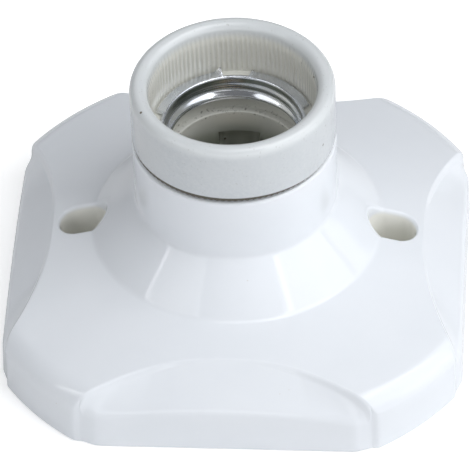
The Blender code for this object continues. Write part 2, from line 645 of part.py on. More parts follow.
def centre_contact(parts, cutters, material):
    """Leaf of springy sheet: its foot is held by a screw, and its tongue rises to the middle."""
    half_foot = FIXING_HEAD_RADIUS
    line = [(-TERMINAL_OFFSET - half_foot, 0.0), (-TERMINAL_OFFSET + half_foot, 0.0),
            (-0.5 * LEAF_WIDTH * 0.4, CONTACT_HEIGHT - FOOT_BOTTOM - LEAF_THICKNESS),
            (0.5 * LEAF_WIDTH * 0.6, CONTACT_HEIGHT - FOOT_BOTTOM - LEAF_THICKNESS),
            (0.5 * LEAF_WIDTH * 1.4, CONTACT_HEIGHT - FOOT_BOTTOM - 2.6 * LEAF_THICKNESS)]
    bm = bmesh.new()
    left = [bm.verts.new((-LEAF_WIDTH / 2.0, y, FOOT_BOTTOM + rise)) for y, rise in line]
    right = [bm.verts.new((LEAF_WIDTH / 2.0, y, FOOT_BOTTOM + rise)) for y, rise in line]
    for index in range(len(line) - 1):
        bm.faces.new((left[index], right[index], right[index + 1], left[index + 1]))
    corners = [edge for edge in bm.edges if edge.is_boundary and abs(edge.verts[0].co.y - edge.verts[1].co.y) < 1e-9]
    ends = {vert for edge in corners for vert in edge.verts}
    bmesh.ops.bevel(bm, geom=list(ends), offset=0.25 * LEAF_WIDTH, offset_type="OFFSET", segments=3,
                    profile=0.5, affect="VERTICES", material=-1)
    bmesh.ops.scale(bm, vec=(SHELL_SIDE, SHELL_SIDE, 1.0), verts=bm.verts)
    pivot = Vector((0.0, -SHELL_SIDE * TERMINAL_OFFSET, FOOT_BOTTOM + LEAF_THICKNESS / 2.0))
    bmesh.ops.translate(bm, vec=-pivot, verts=bm.verts)
    leaf = add_object("centre_contact", bm, parts, material)
    leaf.location = pivot
    wall = leaf.modifiers.new("sheet", "SOLIDIFY")
    wall.thickness = LEAF_THICKNESS
    wall.offset = 1.0
    wall.use_even_offset = True
    cut(leaf, cylinder_cutter("leaf_hole", FIXING_SCREW_RADIUS + HOLE_CLEARANCE,
                              FOOT_BOTTOM - COVER_WALL, FOOT_BOTTOM + COVER_WALL,
                              (0.0, -SHELL_SIDE * TERMINAL_OFFSET), cutters))
    return leaf


def screw_profile(head_radius, head_height, shank_radius, length):
    """Pan head above 0 and shank below it, as a closed profile that runs down."""
    corner = 0.35 * head_height
    return [(0.0, head_height), (head_radius - corner, head_height),
            (head_radius - 0.3 * corner, head_height - 0.3 * corner), (head_radius, head_height - corner),
            (head_radius, 0.0), (shank_radius, 0.0), (shank_radius, 0.4 * shank_radius - length),
            (0.6 * shank_radius, -length), (0.0, -length)]


def slotted_screw(name, place, seat, upright, sizes, parts, cutters, material):
    """A screw whose head lies on its seat. Its head is up when upright is true, and down otherwise."""
    head_radius, head_height, shank_radius, length = sizes
    screw = turned(name, screw_profile(*sizes), parts, material, steps=SCREW_STEPS)
    depth = SLOT_CUT_DEPTH * head_height
    bm = bmesh.new()
    size = (3.0 * head_radius, SLOT_CUT_WIDTH, 2.0 * depth)
    bmesh.ops.create_cube(bm, size=1.0, matrix=Matrix.Diagonal((*size, 1.0)))
    slot = add_object(name + "_slot", bm, cutters)
    centre = Vector((place[0], place[1], seat))
    if not upright:
        screw.rotation_euler = (math.pi, 0.0, 0.0)
        head_height = -head_height
    screw.location = centre
    slot.location = centre + Vector((0.0, 0.0, head_height))
    slot.rotation_euler = (0.0, 0.0, math.radians(25.0))
    cut(screw, slot)
    return screw


def terminal_pieces(side, name, foot_thickness, play, parts, cutters, brass, steel):
    """Terminal, wire clamp and two screws of one contact."""
    plate = rounded_rectangle(TERMINAL_LENGTH, TERMINAL_WIDTH, POCKET_CORNER + SEAT_GAP)
    terminal = prism_object(name + "_terminal", plate, TERMINAL_BOTTOM, TERMINAL_TOP, parts,
                            place=terminal_place(side), material=brass)
    fixing_place = (0.0, side * TERMINAL_OFFSET)
    wire_place = wire_screw_place(side)
    low = TERMINAL_BOTTOM - COVER_WALL
    high = TERMINAL_TOP + COVER_WALL
    cut(terminal, cylinder_cutter(name + "_terminal_fixing", FIXING_SCREW_RADIUS + HOLE_CLEARANCE,
                                  low, high, fixing_place, cutters))
    cut(terminal, cylinder_cutter(name + "_terminal_wire", WIRE_SCREW_RADIUS + HOLE_CLEARANCE,
                                  low, high, wire_place, cutters))
    square = rounded_rectangle(TERMINAL_WIDTH - SEAT_GAP, TERMINAL_WIDTH - SEAT_GAP, POCKET_CORNER)
    clamp = prism_object(name + "_wire_clamp", square, CLAMP_BOTTOM, CLAMP_TOP, parts,
                         place=wire_place, material=brass)
    cut(clamp, cylinder_cutter(name + "_clamp_hole", WIRE_SCREW_RADIUS + HOLE_CLEARANCE,
                               CLAMP_BOTTOM - COVER_WALL, CLAMP_TOP + COVER_WALL, wire_place, cutters))
    head_seat = FOOT_BOTTOM + foot_thickness + play
    fixing_sizes = (FIXING_HEAD_RADIUS, FIXING_HEAD_HEIGHT, FIXING_SCREW_RADIUS,
                    head_seat - TERMINAL_BOTTOM + 2.0 * SEAT_GAP)
    slotted_screw(name + "_fixing_screw", fixing_place, head_seat, True, fixing_sizes, parts, cutters, steel)
    wire_seat = CLAMP_BOTTOM - SEAT_GAP
    wire_sizes = (WIRE_HEAD_RADIUS, WIRE_HEAD_HEIGHT, WIRE_SCREW_RADIUS,
                  TERMINAL_TOP + WIRE_SCREW_TIP - wire_seat)
    slotted_screw(name + "_wire_screw", wire_place, wire_seat, False, wire_sizes, parts, cutters, brass)


def body_fastening(index, turn, parts, cutters, steel):
    """Screw, washer and square nut that hold the porcelain body down on its ear."""
    place = body_screw_place(turn)
    nut_outline = rounded_rectangle(NUT_WIDTH, NUT_WIDTH, 0.1 * NUT_WIDTH, arc_steps=1)
    nut = prism_object("body_nut_%d" % index, nut_outline, NUT_BOTTOM, NUT_BOTTOM + NUT_THICKNESS, parts,
                       place=place, turn=turn, material=steel)
    cut(nut, cylinder_cutter("nut_hole_%d" % index, BODY_SCREW_RADIUS + HOLE_CLEARANCE,
                             NUT_BOTTOM - COVER_WALL, NUT_BOTTOM + NUT_THICKNESS + COVER_WALL, place, cutters))
    washer_bottom = WASHER_TOP - WASHER_THICKNESS
    hole = BODY_SCREW_RADIUS + HOLE_CLEARANCE
    profile = [(hole, WASHER_TOP), (WASHER_RADIUS, WASHER_TOP), (WASHER_RADIUS, washer_bottom),
               (hole, washer_bottom), (hole, WASHER_TOP)]
    washer = turned("body_washer_%d" % index, profile, parts, steel, steps=SCREW_STEPS)
    washer.location = (place[0], place[1], 0.0)
    sizes = (BODY_HEAD_RADIUS, BODY_HEAD_HEIGHT, BODY_SCREW_RADIUS,
             NUT_BOTTOM + NUT_THICKNESS + 0.5 * BODY_SCREW_RADIUS - BODY_HEAD_TOP)
    slotted_screw("body_screw_%d" % index, place, BODY_HEAD_TOP, False, sizes, parts, cutters, steel)


def build():
    clear_scene()
    parts = new_collection("batten lamp holder")
    cutters = new_collection("cutters")
    white_plastic = make_material("white moulded plastic", (0.80, 0.81, 0.84), 0.22)
    porcelain = make_material("glazed porcelain", (0.70, 0.71, 0.69), 0.18)
    plated_steel = make_material("bright plated steel", (0.66, 0.67, 0.68), 0.22, 1.0)
    brass = make_material("brass", (0.78, 0.60, 0.30), 0.30, 1.0)
    spring_bronze = make_material("spring bronze", (0.74, 0.55, 0.36), 0.32, 1.0)
    base_cover(parts, cutters, white_plastic)
    porcelain_body(parts, cutters, porcelain)
    screw_shell(parts, cutters, plated_steel)
    centre_contact(parts, cutters, spring_bronze)
    terminal_pieces(SHELL_SIDE, "shell", SHELL_SHEET, SEAT_GAP, parts, cutters, brass, plated_steel)
    terminal_pieces(-SHELL_SIDE, "centre", LEAF_THICKNESS, LEAF_PLAY, parts, cutters, brass, plated_steel)
    for index, turn in enumerate(BODY_SCREW_ANGLES, start=1):
        body_fastening(index, turn, parts, cutters, plated_steel)


build()
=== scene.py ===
"""A batten lamp holder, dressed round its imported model.

The cover is glossy white plastic, the socket glazed porcelain, and the shell bright rolled sheet.
Everything is in metres. The back face lies at zero, and +Z points out of the socket's mouth.
"""

import json
import math

import bmesh
import bpy
from mathutils import Matrix, Vector


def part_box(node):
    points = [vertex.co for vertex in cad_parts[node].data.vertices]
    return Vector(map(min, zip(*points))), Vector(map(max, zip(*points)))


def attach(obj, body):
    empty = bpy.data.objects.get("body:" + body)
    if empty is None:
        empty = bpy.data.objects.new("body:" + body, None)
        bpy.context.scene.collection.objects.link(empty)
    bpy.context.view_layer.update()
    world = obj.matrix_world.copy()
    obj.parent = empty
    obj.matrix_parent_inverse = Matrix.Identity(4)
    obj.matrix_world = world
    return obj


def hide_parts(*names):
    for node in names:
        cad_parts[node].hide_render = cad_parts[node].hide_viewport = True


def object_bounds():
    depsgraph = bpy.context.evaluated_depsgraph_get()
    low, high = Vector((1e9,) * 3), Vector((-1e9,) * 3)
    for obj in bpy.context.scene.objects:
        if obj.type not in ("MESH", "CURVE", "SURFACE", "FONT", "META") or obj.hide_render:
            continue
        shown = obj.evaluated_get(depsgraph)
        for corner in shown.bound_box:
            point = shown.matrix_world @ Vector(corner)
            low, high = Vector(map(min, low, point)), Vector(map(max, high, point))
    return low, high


MM = 0.001

# Cover, as in the solids
LOBE_DEPTH = 8.6 * MM
LOBE_END_MARGIN = 19.9 * MM
LOBE_END_ANGLE = math.radians(21.0)
LOBE_END_RUN = 3.1 * MM
CORNER_OVERRUN = 7.8 * MM
DRAFT = math.tan(math.radians(1.5))
COVER_WALL = 2.4 * MM
PLATEAU_RADIUS = 28.5 * MM
PLATEAU_HEIGHT = 18.2 * MM
PLATEAU_FALL = 0.26
LOBE_FACE_HEIGHT = 9.7 * MM
LOBE_CROWN_RADIUS = 140.0 * MM
STEP_WIDTH = 0.9 * MM
STEP_HEIGHT = 0.9 * MM
LOBE_EDGE_ROUND = 1.0 * MM
LOBE_END_SOFTNESS = 0.3 * MM
CORNER_EDGE_ROUND = 4.0 * MM
FOOT_FILLET = 0.7 * MM
BACK_CHAMFER = 0.25 * MM
COLLAR_RADIUS = 19.8 * MM
COLLAR_WALL = 2.4 * MM
COLLAR_FOOT = 26.7 * MM
COLLAR_LIP_ROUND = 0.8 * MM
SLEEVE_WALL = 2.0 * MM
SLEEVE_BOTTOM = 10.6 * MM
SLEEVE_CHAMFER = 0.2 * MM
SLOT_INNER_END = 25.7 * MM
SLOT_OUTER_END = 35.0 * MM
SLOT_WIDTH = 7.0 * MM
SLOT_WALL = 1.8 * MM
SLOT_RIM_ROUND = 0.8 * MM
SLOT_RADIUS = 0.5 * SLOT_WIDTH
SLOT_MIDDLE = 0.5 * (SLOT_INNER_END + SLOT_OUTER_END)
SLOT_STRAIGHT = SLOT_OUTER_END - SLOT_INNER_END - SLOT_WIDTH
RIB_THICKNESS = 1.6 * MM
RIB_CLEARANCE = 6.0 * MM
EAR_BOTTOM = 11.0 * MM
EAR_TOP = 13.4 * MM
EAR_RADIUS = 4.6 * MM

# Porcelain body
MOUTH_RADIUS = 16.0 * MM
RIM_ROUND = 1.7 * MM
RIM_LEAN = 0.35 * MM
HEAD_FOOT_ROUND = 0.9 * MM
FLANGE_SEAT = 43.1 * MM
LEDGE_HEIGHT = 35.4 * MM
SHELL_BORE = 14.05 * MM
LOWER_BORE = 12.6 * MM
FLOOR_TOP = 24.5 * MM
POCKET_CEILING = 19.5 * MM
BODY_BOTTOM = 13.7 * MM
HEAD_BOTTOM = 41.5 * MM
BODY_RADIUS = 17.1 * MM
RECESS_WIDTH = 8.2 * MM
RECESS_DEPTH = 2.0 * MM
RECESS_TOP = 30.4 * MM
NOTCH_CLEARANCE = 0.9 * MM
POCKET_CLEARANCE = 0.3 * MM
SPACE_CORNER = 1.5 * MM
NUT_ROOM = 7.6 * MM
NUT_SIDE = 7.0 * MM
RIB_COUNT = 104
RIB_HEIGHT = 0.11 * MM
SEAM_SIDE = math.radians(118.0)

# Screw shell
SHELL_SHEET = 0.4 * MM
THREAD_CREST = 12.25 * MM
THREAD_ROOT = 13.35 * MM
THREAD_PITCH = 3.63 * MM
CREST_HEIGHT = 39.2 * MM
SHELL_BOTTOM = 38.2 * MM
SHELL_LIP = FLANGE_SEAT + 0.3 * MM
THREAD_FADE = 0.4 * THREAD_PITCH
FLANGE_RADIUS = 15.5 * MM
FLANGE_ARCS = ((22.0, 80.6), (102.4, 169.0))
TAIL_HALF_ANGLE = math.radians(11.0)
TAIL_FOOT_WIDTH = 5.0 * MM

# Contacts, terminals and screws
SHELL_SIDE = -1
TERMINAL_OFFSET = 8.2 * MM
WIRE_SCREW_SPACING = 6.8 * MM
FOOT_BOTTOM = FLOOR_TOP + 0.3 * MM
LEAF_THICKNESS = 0.5 * MM
HOLE_CLEARANCE = 0.3 * MM
FIXING_SCREW_RADIUS = 1.5 * MM
WIRE_SCREW_RADIUS = 1.75 * MM
BODY_SCREW_RADIUS = 2.0 * MM
BODY_SCREW_CIRCLE = 12.8 * MM
BODY_SCREW_ANGLES = (math.radians(151.0), math.radians(331.0))
SCREW_SLOT_WIDTH = 0.8 * MM
SCREW_SLOT_TURN = math.radians(25.0)

# Head radius, head height, thread radius and pitch of each kind of screw
FIXING_SCREW = (2.6 * MM, 1.8 * MM, FIXING_SCREW_RADIUS, 0.5 * MM)
WIRE_SCREW = (2.9 * MM, 2.0 * MM, WIRE_SCREW_RADIUS, 0.6 * MM)
BODY_SCREW = (3.5 * MM, 2.4 * MM, BODY_SCREW_RADIUS, 0.7 * MM)

# Points round one turn, rows of points, and the distance below which two points are one
COVER_STEPS = 720
SHELL_STEPS = 420
SLOT_STEPS = 64
BOSS_STEPS = 59
SCREW_STEPS = 32
WASHER_STEPS = 64
HOLE_STEPS = 40
THREAD_ROWS = 36
EDGE_ROWS = 12
WELD = 0.001 * MM

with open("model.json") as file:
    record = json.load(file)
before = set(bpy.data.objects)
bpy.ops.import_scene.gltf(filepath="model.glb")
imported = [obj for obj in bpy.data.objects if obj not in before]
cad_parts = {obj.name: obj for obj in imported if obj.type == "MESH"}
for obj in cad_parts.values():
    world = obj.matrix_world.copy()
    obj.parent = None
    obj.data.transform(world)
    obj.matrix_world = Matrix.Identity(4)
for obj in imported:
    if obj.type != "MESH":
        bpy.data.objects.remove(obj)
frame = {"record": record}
cad_low, cad_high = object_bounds()

LOBE_REACH = cad_high.x
LOBE_HALF_LENGTH = LOBE_REACH - LOBE_END_MARGIN
CORNER_RADIUS = LOBE_REACH + CORNER_OVERRUN
BITE_APEX = LOBE_REACH - LOBE_DEPTH
RIM_TOP = cad_high.z
HEAD_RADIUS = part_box("porcelain_body")[1].x
COLLAR_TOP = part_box("base_cover")[1].z
BORE_RADIUS = COLLAR_RADIUS - COLLAR_WALL
SLEEVE_RADIUS = BORE_RADIUS + SLEEVE_WALL
CONE_SLOPE = (COLLAR_FOOT - PLATEAU_HEIGHT) / (PLATEAU_RADIUS - COLLAR_RADIUS)
APEX_HEIGHT = PLATEAU_HEIGHT - PLATEAU_FALL * (BITE_APEX - PLATEAU_RADIUS)
LOBE_FALL = (APEX_HEIGHT - LOBE_FACE_HEIGHT) / (LOBE_REACH - BITE_APEX)
GROOVE = Vector((LOBE_HALF_LENGTH + LOBE_END_RUN,
                 LOBE_REACH - LOBE_END_RUN * math.tan(LOBE_END_ANGLE)))
BITE_RADIUS = (GROOVE.x ** 2 + (GROOVE.y - BITE_APEX) ** 2) / (2.0 * (GROOVE.y - BITE_APEX))
BITE_CENTRE = BITE_APEX + BITE_RADIUS
GROOVE_ANGLE = math.atan2(GROOVE.x, GROOVE.y)
END_OFFSET = LOBE_HALF_LENGTH * math.sin(LOBE_END_ANGLE) + LOBE_REACH * math.cos(LOBE_END_ANGLE)
CORNER = math.radians(45.0)


# Making and finishing meshes

def spun(row_count, steps, place, closed=True):
    """A chain of rows spun full circle, whose points then go where place(row, angle) says."""
    bm = bmesh.new()
    row_of = bm.verts.layers.int.new("row")
    chain = [bm.verts.new((1.0, 0.0, 0.01 * row)) for row in range(row_count)]
    for row, vert in enumerate(chain):
        vert[row_of] = row
    for start, end in zip(chain, chain[1:] + chain[:1] if closed else chain[1:]):
        bm.edges.new((start, end))
    bmesh.ops.spin(bm, geom=bm.verts[:] + bm.edges[:], cent=(0.0, 0.0, 0.0), axis=(0.0, 0.0, 1.0),
                   angle=2.0 * math.pi, steps=steps, use_merge=True)
    for vert in bm.verts:
        vert.co = place(vert[row_of], math.atan2(vert.co.y, vert.co.x))
    if not closed:
        bmesh.ops.holes_fill(bm, edges=[edge for edge in bm.edges if edge.is_boundary], sides=0)
    bmesh.ops.recalc_face_normals(bm, faces=bm.faces)
    if bm.calc_volume(signed=True) < 0.0:
        bmesh.ops.reverse_faces(bm, faces=bm.faces)
    if not closed:
        bmesh.ops.remove_doubles(bm, verts=bm.verts, dist=WELD)
    return bm


def around(radius, angle, height=0.0):
    return Vector((radius * math.cos(angle), radius * math.sin(angle), height))


def spun_sections(section, steps):
    """A closed chain spun full circle, with rows of (radius, direction, height) for each angle."""
    sections = {}

    def place(row, angle):
        key = round(angle, 6)
        if key not in sections:
            sections[key] = section(angle)
        return around(*sections[key][row])

    return spun(len(section(0.0)), steps, place)


def block(length, width, bottom, top, corner, edge=0.0):
    """A plate with round corners, and a small bevel on its upper and lower edges."""
    bm = bmesh.new()
    bmesh.ops.create_cube(bm, size=1.0)
    bmesh.ops.scale(bm, vec=(length, width, top - bottom), verts=bm.verts)
    bmesh.ops.translate(bm, vec=(0.0, 0.0, 0.5 * (top + bottom)), verts=bm.verts)
    upright = [e for e in bm.edges if abs(e.verts[0].co.z - e.verts[1].co.z) > 0.5 * (top - bottom)]
    bmesh.ops.bevel(bm, geom=upright, offset=corner, segments=6, profile=0.5, affect="EDGES")
    if edge > 0.0:
        level = [e for e in bm.edges if e.calc_face_angle(0.0) > 1.0]
        bmesh.ops.bevel(bm, geom=level, offset=edge, segments=2, profile=0.5, affect="EDGES")
    return bm


def moved(bm, place=(0.0, 0.0), turn=0.0):
    """The same mesh, turned about Z and then moved along X and Y."""
    shift = Matrix.Translation((place[0], place[1], 0.0)) @ Matrix.Rotation(turn, 4, "Z")
    bmesh.ops.transform(bm, matrix=shift, verts=bm.verts)
    return bm


def hole(screw_radius, bottom, top, place):
    """The space of a round hole that clears a screw."""
    radius = screw_radius + HOLE_CLEARANCE
    bm = bmesh.new()
    bmesh.ops.create_cone(bm, cap_ends=True, segments=HOLE_STEPS, radius1=radius, radius2=radius,
                          depth=top - bottom)
    bmesh.ops.translate(bm, vec=(place[0], place[1], 0.5 * (top + bottom)), verts=bm.verts)
    return bm


def gathered(meshes):
    """Several separate bodies in one mesh."""
    whole = bmesh.new()
    for bm in meshes:
        mesh = bpy.data.meshes.new("body")
        bm.to_mesh(mesh)
        bm.free()
        whole.from_mesh(mesh)
        bpy.data.meshes.remove(mesh)
    return whole


def add_object(name, data):
    thing = bpy.data.objects.new(name, data)
    bpy.context.scene.collection.objects.link(thing)
    return thing


def make_object(name, bm):
    mesh = bpy.data.meshes.new(name)
    bm.to_mesh(mesh)
    bm.free()
    return add_object(name, mesh)


def carve(thing, meshes, operation="DIFFERENCE"):
    """Boolean of a piece with several separate bodies, kept in its mesh."""
    tool = make_object("tool", gathered(meshes))
    change = thing.modifiers.new("carve", "BOOLEAN")
    change.operation = operation
    change.solver = "EXACT"
    change.object = tool
    view = bpy.context.evaluated_depsgraph_get()
    shaped = bpy.data.meshes.new_from_object(thing.evaluated_get(view))
    old = thing.data
    thing.modifiers.clear()
    thing.data = shaped
    bpy.data.meshes.remove(old)
    bpy.data.objects.remove(tool, do_unlink=True)


def finish_piece(thing, node, material, sharp=35.0):
    """Shades a piece, gives it its material, and puts it in the place of its node."""
    thing.data.materials.clear()
    thing.data.materials.append(material)
    thing.data.shade_smooth()
    thing.data.set_sharp_from_angle(angle=math.radians(sharp))
    bodies = frame["record"]["behaviour"]["bodies"]
    body = next(name for name, nodes in bodies.items() if node in nodes)
    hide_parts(node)
    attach(thing, body)


# Materials

class Finish:
    """A material's node tree and its colour so far, with short calls for the nodes used here."""

    def __init__(self, name, inputs):
        self.material = bpy.data.materials.new(name)
        self.material.use_nodes = True
        self.nodes = self.material.node_tree.nodes
        self.links = self.material.node_tree.links
        self.shader = self.nodes["Principled BSDF"]
        self.connect(self.shader, inputs)
        self.place = self.add("TexCoord", "Object", {})
        self.colour = None

    def connect(self, node, inputs):
        """Gives each input of a node its value, or links it to the output of another node."""
        for socket, value in inputs.items():
            if isinstance(value, bpy.types.NodeSocket):
                self.links.new(value, node.inputs[socket])
            else:
                node.inputs[socket].default_value = value

    def add(self, kind, output, inputs, **settings):
        node = self.nodes.new("ShaderNode" + kind)
        for setting, value in settings.items():
            setattr(node, setting, value)
        self.connect(node, inputs)
        return node.outputs[output]

    def stretched(self, scale):
        return self.add("Mapping", "Vector", {"Vector": self.place, "Scale": scale})

    def noise(self, scale, detail=4.0, roughness=0.55, vector=None):
        grain = {"Scale": scale, "Detail": detail, "Roughness": roughness}
        return self.add("TexNoise", "Fac", {"Vector": vector or self.place, **grain})

    def spots(self, scale):
        """Distance to scattered points."""
        return self.add("TexVoronoi", "Distance", {"Vector": self.place, "Scale": scale})

    def ranged(self, value, low, high, to_low=0.0, to_high=1.0):
        """Goes smoothly from to_low to to_high while the value goes from low to high."""
        ends = {"From Min": low, "From Max": high, "To Min": to_low, "To Max": to_high}
        return self.add("MapRange", "Result", {"Value": value, **ends}, interpolation_type="SMOOTHSTEP")

    def rises(self, value, place, start, end):
        """From 0 to 1 between two distances past a place, in millimetres."""
        return self.ranged(value, place + start * MM, place + end * MM)

    def falls(self, value, place, start, end):
        return self.ranged(value, place + start * MM, place + end * MM, 1.0, 0.0)

    def maths(self, operation, first, second=0.0):
        return self.add("Math", "Value", {0: first, 1: second}, operation=operation)

    def product(self, *values):
        result = values[0]
        for value in values[1:]:
            result = self.maths("MULTIPLY", result, value)
        return result

    def axis(self, name):
        return self.add("SeparateXYZ", name, {"Vector": self.place})

    def paint(self, share, colour, under=None):
        """Lays a colour over another, or over the material's colour so far."""
        under = (*under, 1.0) if under else self.colour
        self.colour = self.add("Mix", 2, {"Factor": share, 6: under, 7: (*colour, 1.0)}, data_type="RGBA")

    def bump(self, value, height):
        """Relief of a height in metres, added to what the material already has."""
        normal = self.shader.inputs["Normal"]
        before = {"Normal": normal.links[0].from_socket} if normal.is_linked else {}
        relief = self.add("Bump", "Normal", {"Strength": 1.0, "Distance": height, "Height": value, **before})
        self.links.new(relief, normal)

    def done(self, roughness):
        self.connect(self.shader, {"Base Color": self.colour, "Roughness": roughness})
        return self.material


def moulded_plastic():
    """Glossy white moulding, creamier inside its slots, with faint flow marks and fine dust."""
    finish = Finish("moulded white plastic", {"IOR": 1.5})
    x, y, z = (finish.axis(name) for name in "XYZ")
    outward = finish.maths("ABSOLUTE", x)
    fall = finish.product(outward, PLATEAU_FALL)
    roof = finish.maths("SUBTRACT", PLATEAU_HEIGHT + PLATEAU_FALL * PLATEAU_RADIUS, fall)
    in_slot = finish.product(
        finish.falls(finish.maths("ABSOLUTE", y), SLOT_RADIUS, 0.1, 0.5),
        finish.rises(outward, SLOT_INNER_END, -0.5, -0.1),
        finish.falls(outward, SLOT_OUTER_END, 0.1, 0.5),
        finish.rises(finish.maths("SUBTRACT", roof, z), 0.0, 0.1, 1.4))
    dust = finish.product(
        finish.ranged(finish.spots(420.0), 0.035, 0.06, 1.0, 0.0),
        finish.ranged(finish.noise(70.0), 0.62, 0.68))
    finish.paint(finish.ranged(finish.noise(55.0), 0.3, 0.7), (0.84, 0.866, 0.904), (0.82, 0.849, 0.888))
    finish.paint(in_slot, (0.93, 0.925, 0.87))
    finish.paint(dust, (0.70, 0.69, 0.66))
    finish.bump(finish.noise(900.0, 2.0), 0.004 * MM)
    finish.bump(finish.noise(38.0, 2.0), 0.03 * MM)
    return finish.done(finish.ranged(finish.noise(160.0, 6.0), 0.3, 0.75, 0.05, 0.10))


def paint_glaze(finish, radius, z):
    """Cloudy blue-grey glaze, painted lighter on the rim as a painted highlight, and inside the mouth
    creamier and painted lighter as painted light.
    """
    wide = finish.ranged(finish.noise(60.0, 3.0), 0.35, 0.65)
    mouth = finish.product(finish.falls(radius, MOUTH_RADIUS, -0.1, 1.0),
                           finish.falls(z, RIM_TOP, -3.0, -1.0))
    finish.paint(wide, (0.615, 0.642, 0.662), (0.585, 0.615, 0.64))
    finish.paint(finish.ranged(finish.noise(1500.0, 4.0, 0.7), 0.35, 0.7), (0.635, 0.66, 0.677))
    # Painted highlight: the rim's top is painted lighter than the glaze below it.
    finish.paint(finish.rises(z, RIM_TOP, -2.4, -0.8), (0.70, 0.727, 0.738))
    # Painted light: inside the mouth the glaze is creamier and also painted lighter than outside, as painted
    # light on the inner wall.
    finish.paint(mouth, (0.77, 0.765, 0.71))


def paint_bore_shade(finish, x, y, z, radius):
    """The bore under the shell darkened as painted shade, most towards its bottom, with darker painted shade
    round its recess, a lighter painted shade on the recess's back wall, and patchy dark dots along its ledge.
    """
    # Painted shade: the deep bore is darkened, most towards its bottom.
    bore_shade = finish.product(
        finish.rises(z, FLOOR_TOP, -1.0, -0.2),
        finish.ranged(z, FLOOR_TOP + 2.0 * MM, LEDGE_HEIGHT + MM, 1.0, 0.0),
        finish.falls(radius, SHELL_BORE, 0.45, 0.95))
    # Painted shade: darker still round the recess.
    near_recess = finish.product(
        finish.falls(finish.maths("ABSOLUTE", x), 0.5 * RECESS_WIDTH, -0.5, 1.1),
        finish.falls(z, RECESS_TOP, -1.0, 3.0),
        finish.rises(y, LOWER_BORE, -3.6, -1.1), 0.3)
    # A lighter painted shade on the recess's back wall.
    in_recess = finish.product(
        finish.rises(y, LOWER_BORE, 0.1, 0.7), finish.falls(z, RECESS_TOP, 0.0, 0.3), bore_shade)
    # Patchy dark dots along the ledge.
    ledge_dark_dots = finish.product(
        finish.rises(z, LEDGE_HEIGHT, -0.9, -0.3), finish.falls(z, LEDGE_HEIGHT, 0.2, 0.8),
        finish.ranged(finish.noise(1300.0, 3.0), 0.56, 0.72, 0.0, 0.6))
    finish.paint(bore_shade, (0.235, 0.255, 0.205))
    finish.paint(near_recess, (0.08, 0.09, 0.07))
    finish.paint(in_recess, (0.50, 0.51, 0.45))
    finish.paint(ledge_dark_dots, (0.10, 0.095, 0.07))


def glazed_porcelain():
    """Blue-grey glaze with dark specks, creamier and painted lighter inside the mouth, and a painted shadow
    in the seam along the lower edge, which is also unglazed and rougher.
    """
    finish = Finish("glazed porcelain", {"Coat Weight": 0.5, "Coat Roughness": 0.12})
    x, y, z = (finish.axis(name) for name in "XYZ")
    turn = finish.maths("ARCTAN2", y, x)
    radius = finish.maths("SQRT", finish.maths("ADD", finish.product(x, x), finish.product(y, y)))
    paint_glaze(finish, radius, z)
    paint_bore_shade(finish, x, y, z, radius)
    wave = finish.maths("SINE", finish.product(turn, float(RIB_COUNT)))
    streak = finish.noise(60.0, 3.0, vector=finish.stretched((1.0, 1.0, 0.25)))
    between_ribs = finish.product(
        finish.ranged(wave, -0.6, 0.8), finish.falls(radius, MOUTH_RADIUS, -0.4, 0.3),
        finish.rises(z, FLANGE_SEAT, 0.0, 1.0), finish.ranged(streak, 0.35, 0.62, 0.05, 0.7))
    finish.paint(between_ribs, (0.52, 0.50, 0.43))
    # Painted shadow: a near-black band in the seam where the head meets the cover's collar, widest towards
    # the front left; the same band is also made rougher as unglazed porcelain.
    front_left = finish.maths("COSINE", finish.maths("ADD", turn, SEAM_SIDE))
    seam_band_top = finish.ranged(front_left, -0.2, 1.0, HEAD_BOTTOM + 0.5 * MM, HEAD_BOTTOM + 1.25 * MM)
    seam_shade_and_unglazed = finish.product(
        finish.falls(finish.maths("SUBTRACT", z, seam_band_top), 0.0, -0.15, 0.1),
        finish.rises(radius, MOUTH_RADIUS, 0.0, 1.0), finish.rises(z, HEAD_BOTTOM, -0.5, 0.0))
    finish.paint(seam_shade_and_unglazed, (0.055, 0.045, 0.025))
    freckles = finish.product(
        finish.ranged(finish.spots(1100.0), 0.10, 0.22, 1.0, 0.0),
        finish.ranged(finish.noise(300.0), 0.35, 0.70, 0.0, 0.35))
    finish.paint(freckles, (0.40, 0.40, 0.38))
    specks = finish.product(
        finish.ranged(finish.spots(330.0), 0.05, 0.13, 1.0, 0.0),
        finish.ranged(finish.noise(210.0), 0.52, 0.60))
    finish.paint(specks, (0.16, 0.13, 0.09))
    finish.bump(finish.noise(700.0, 4.0), 0.02 * MM)
    finish.bump(finish.noise(120.0, 2.0), 0.09 * MM)
    finish.bump(specks, -0.05 * MM)
    rough = finish.ranged(finish.noise(240.0, 4.0), 0.3, 0.7, 0.14, 0.26)
    # The seam band is rougher, as unglazed porcelain.
    return finish.done(finish.maths("ADD", rough, finish.product(seam_shade_and_unglazed, 0.4)))


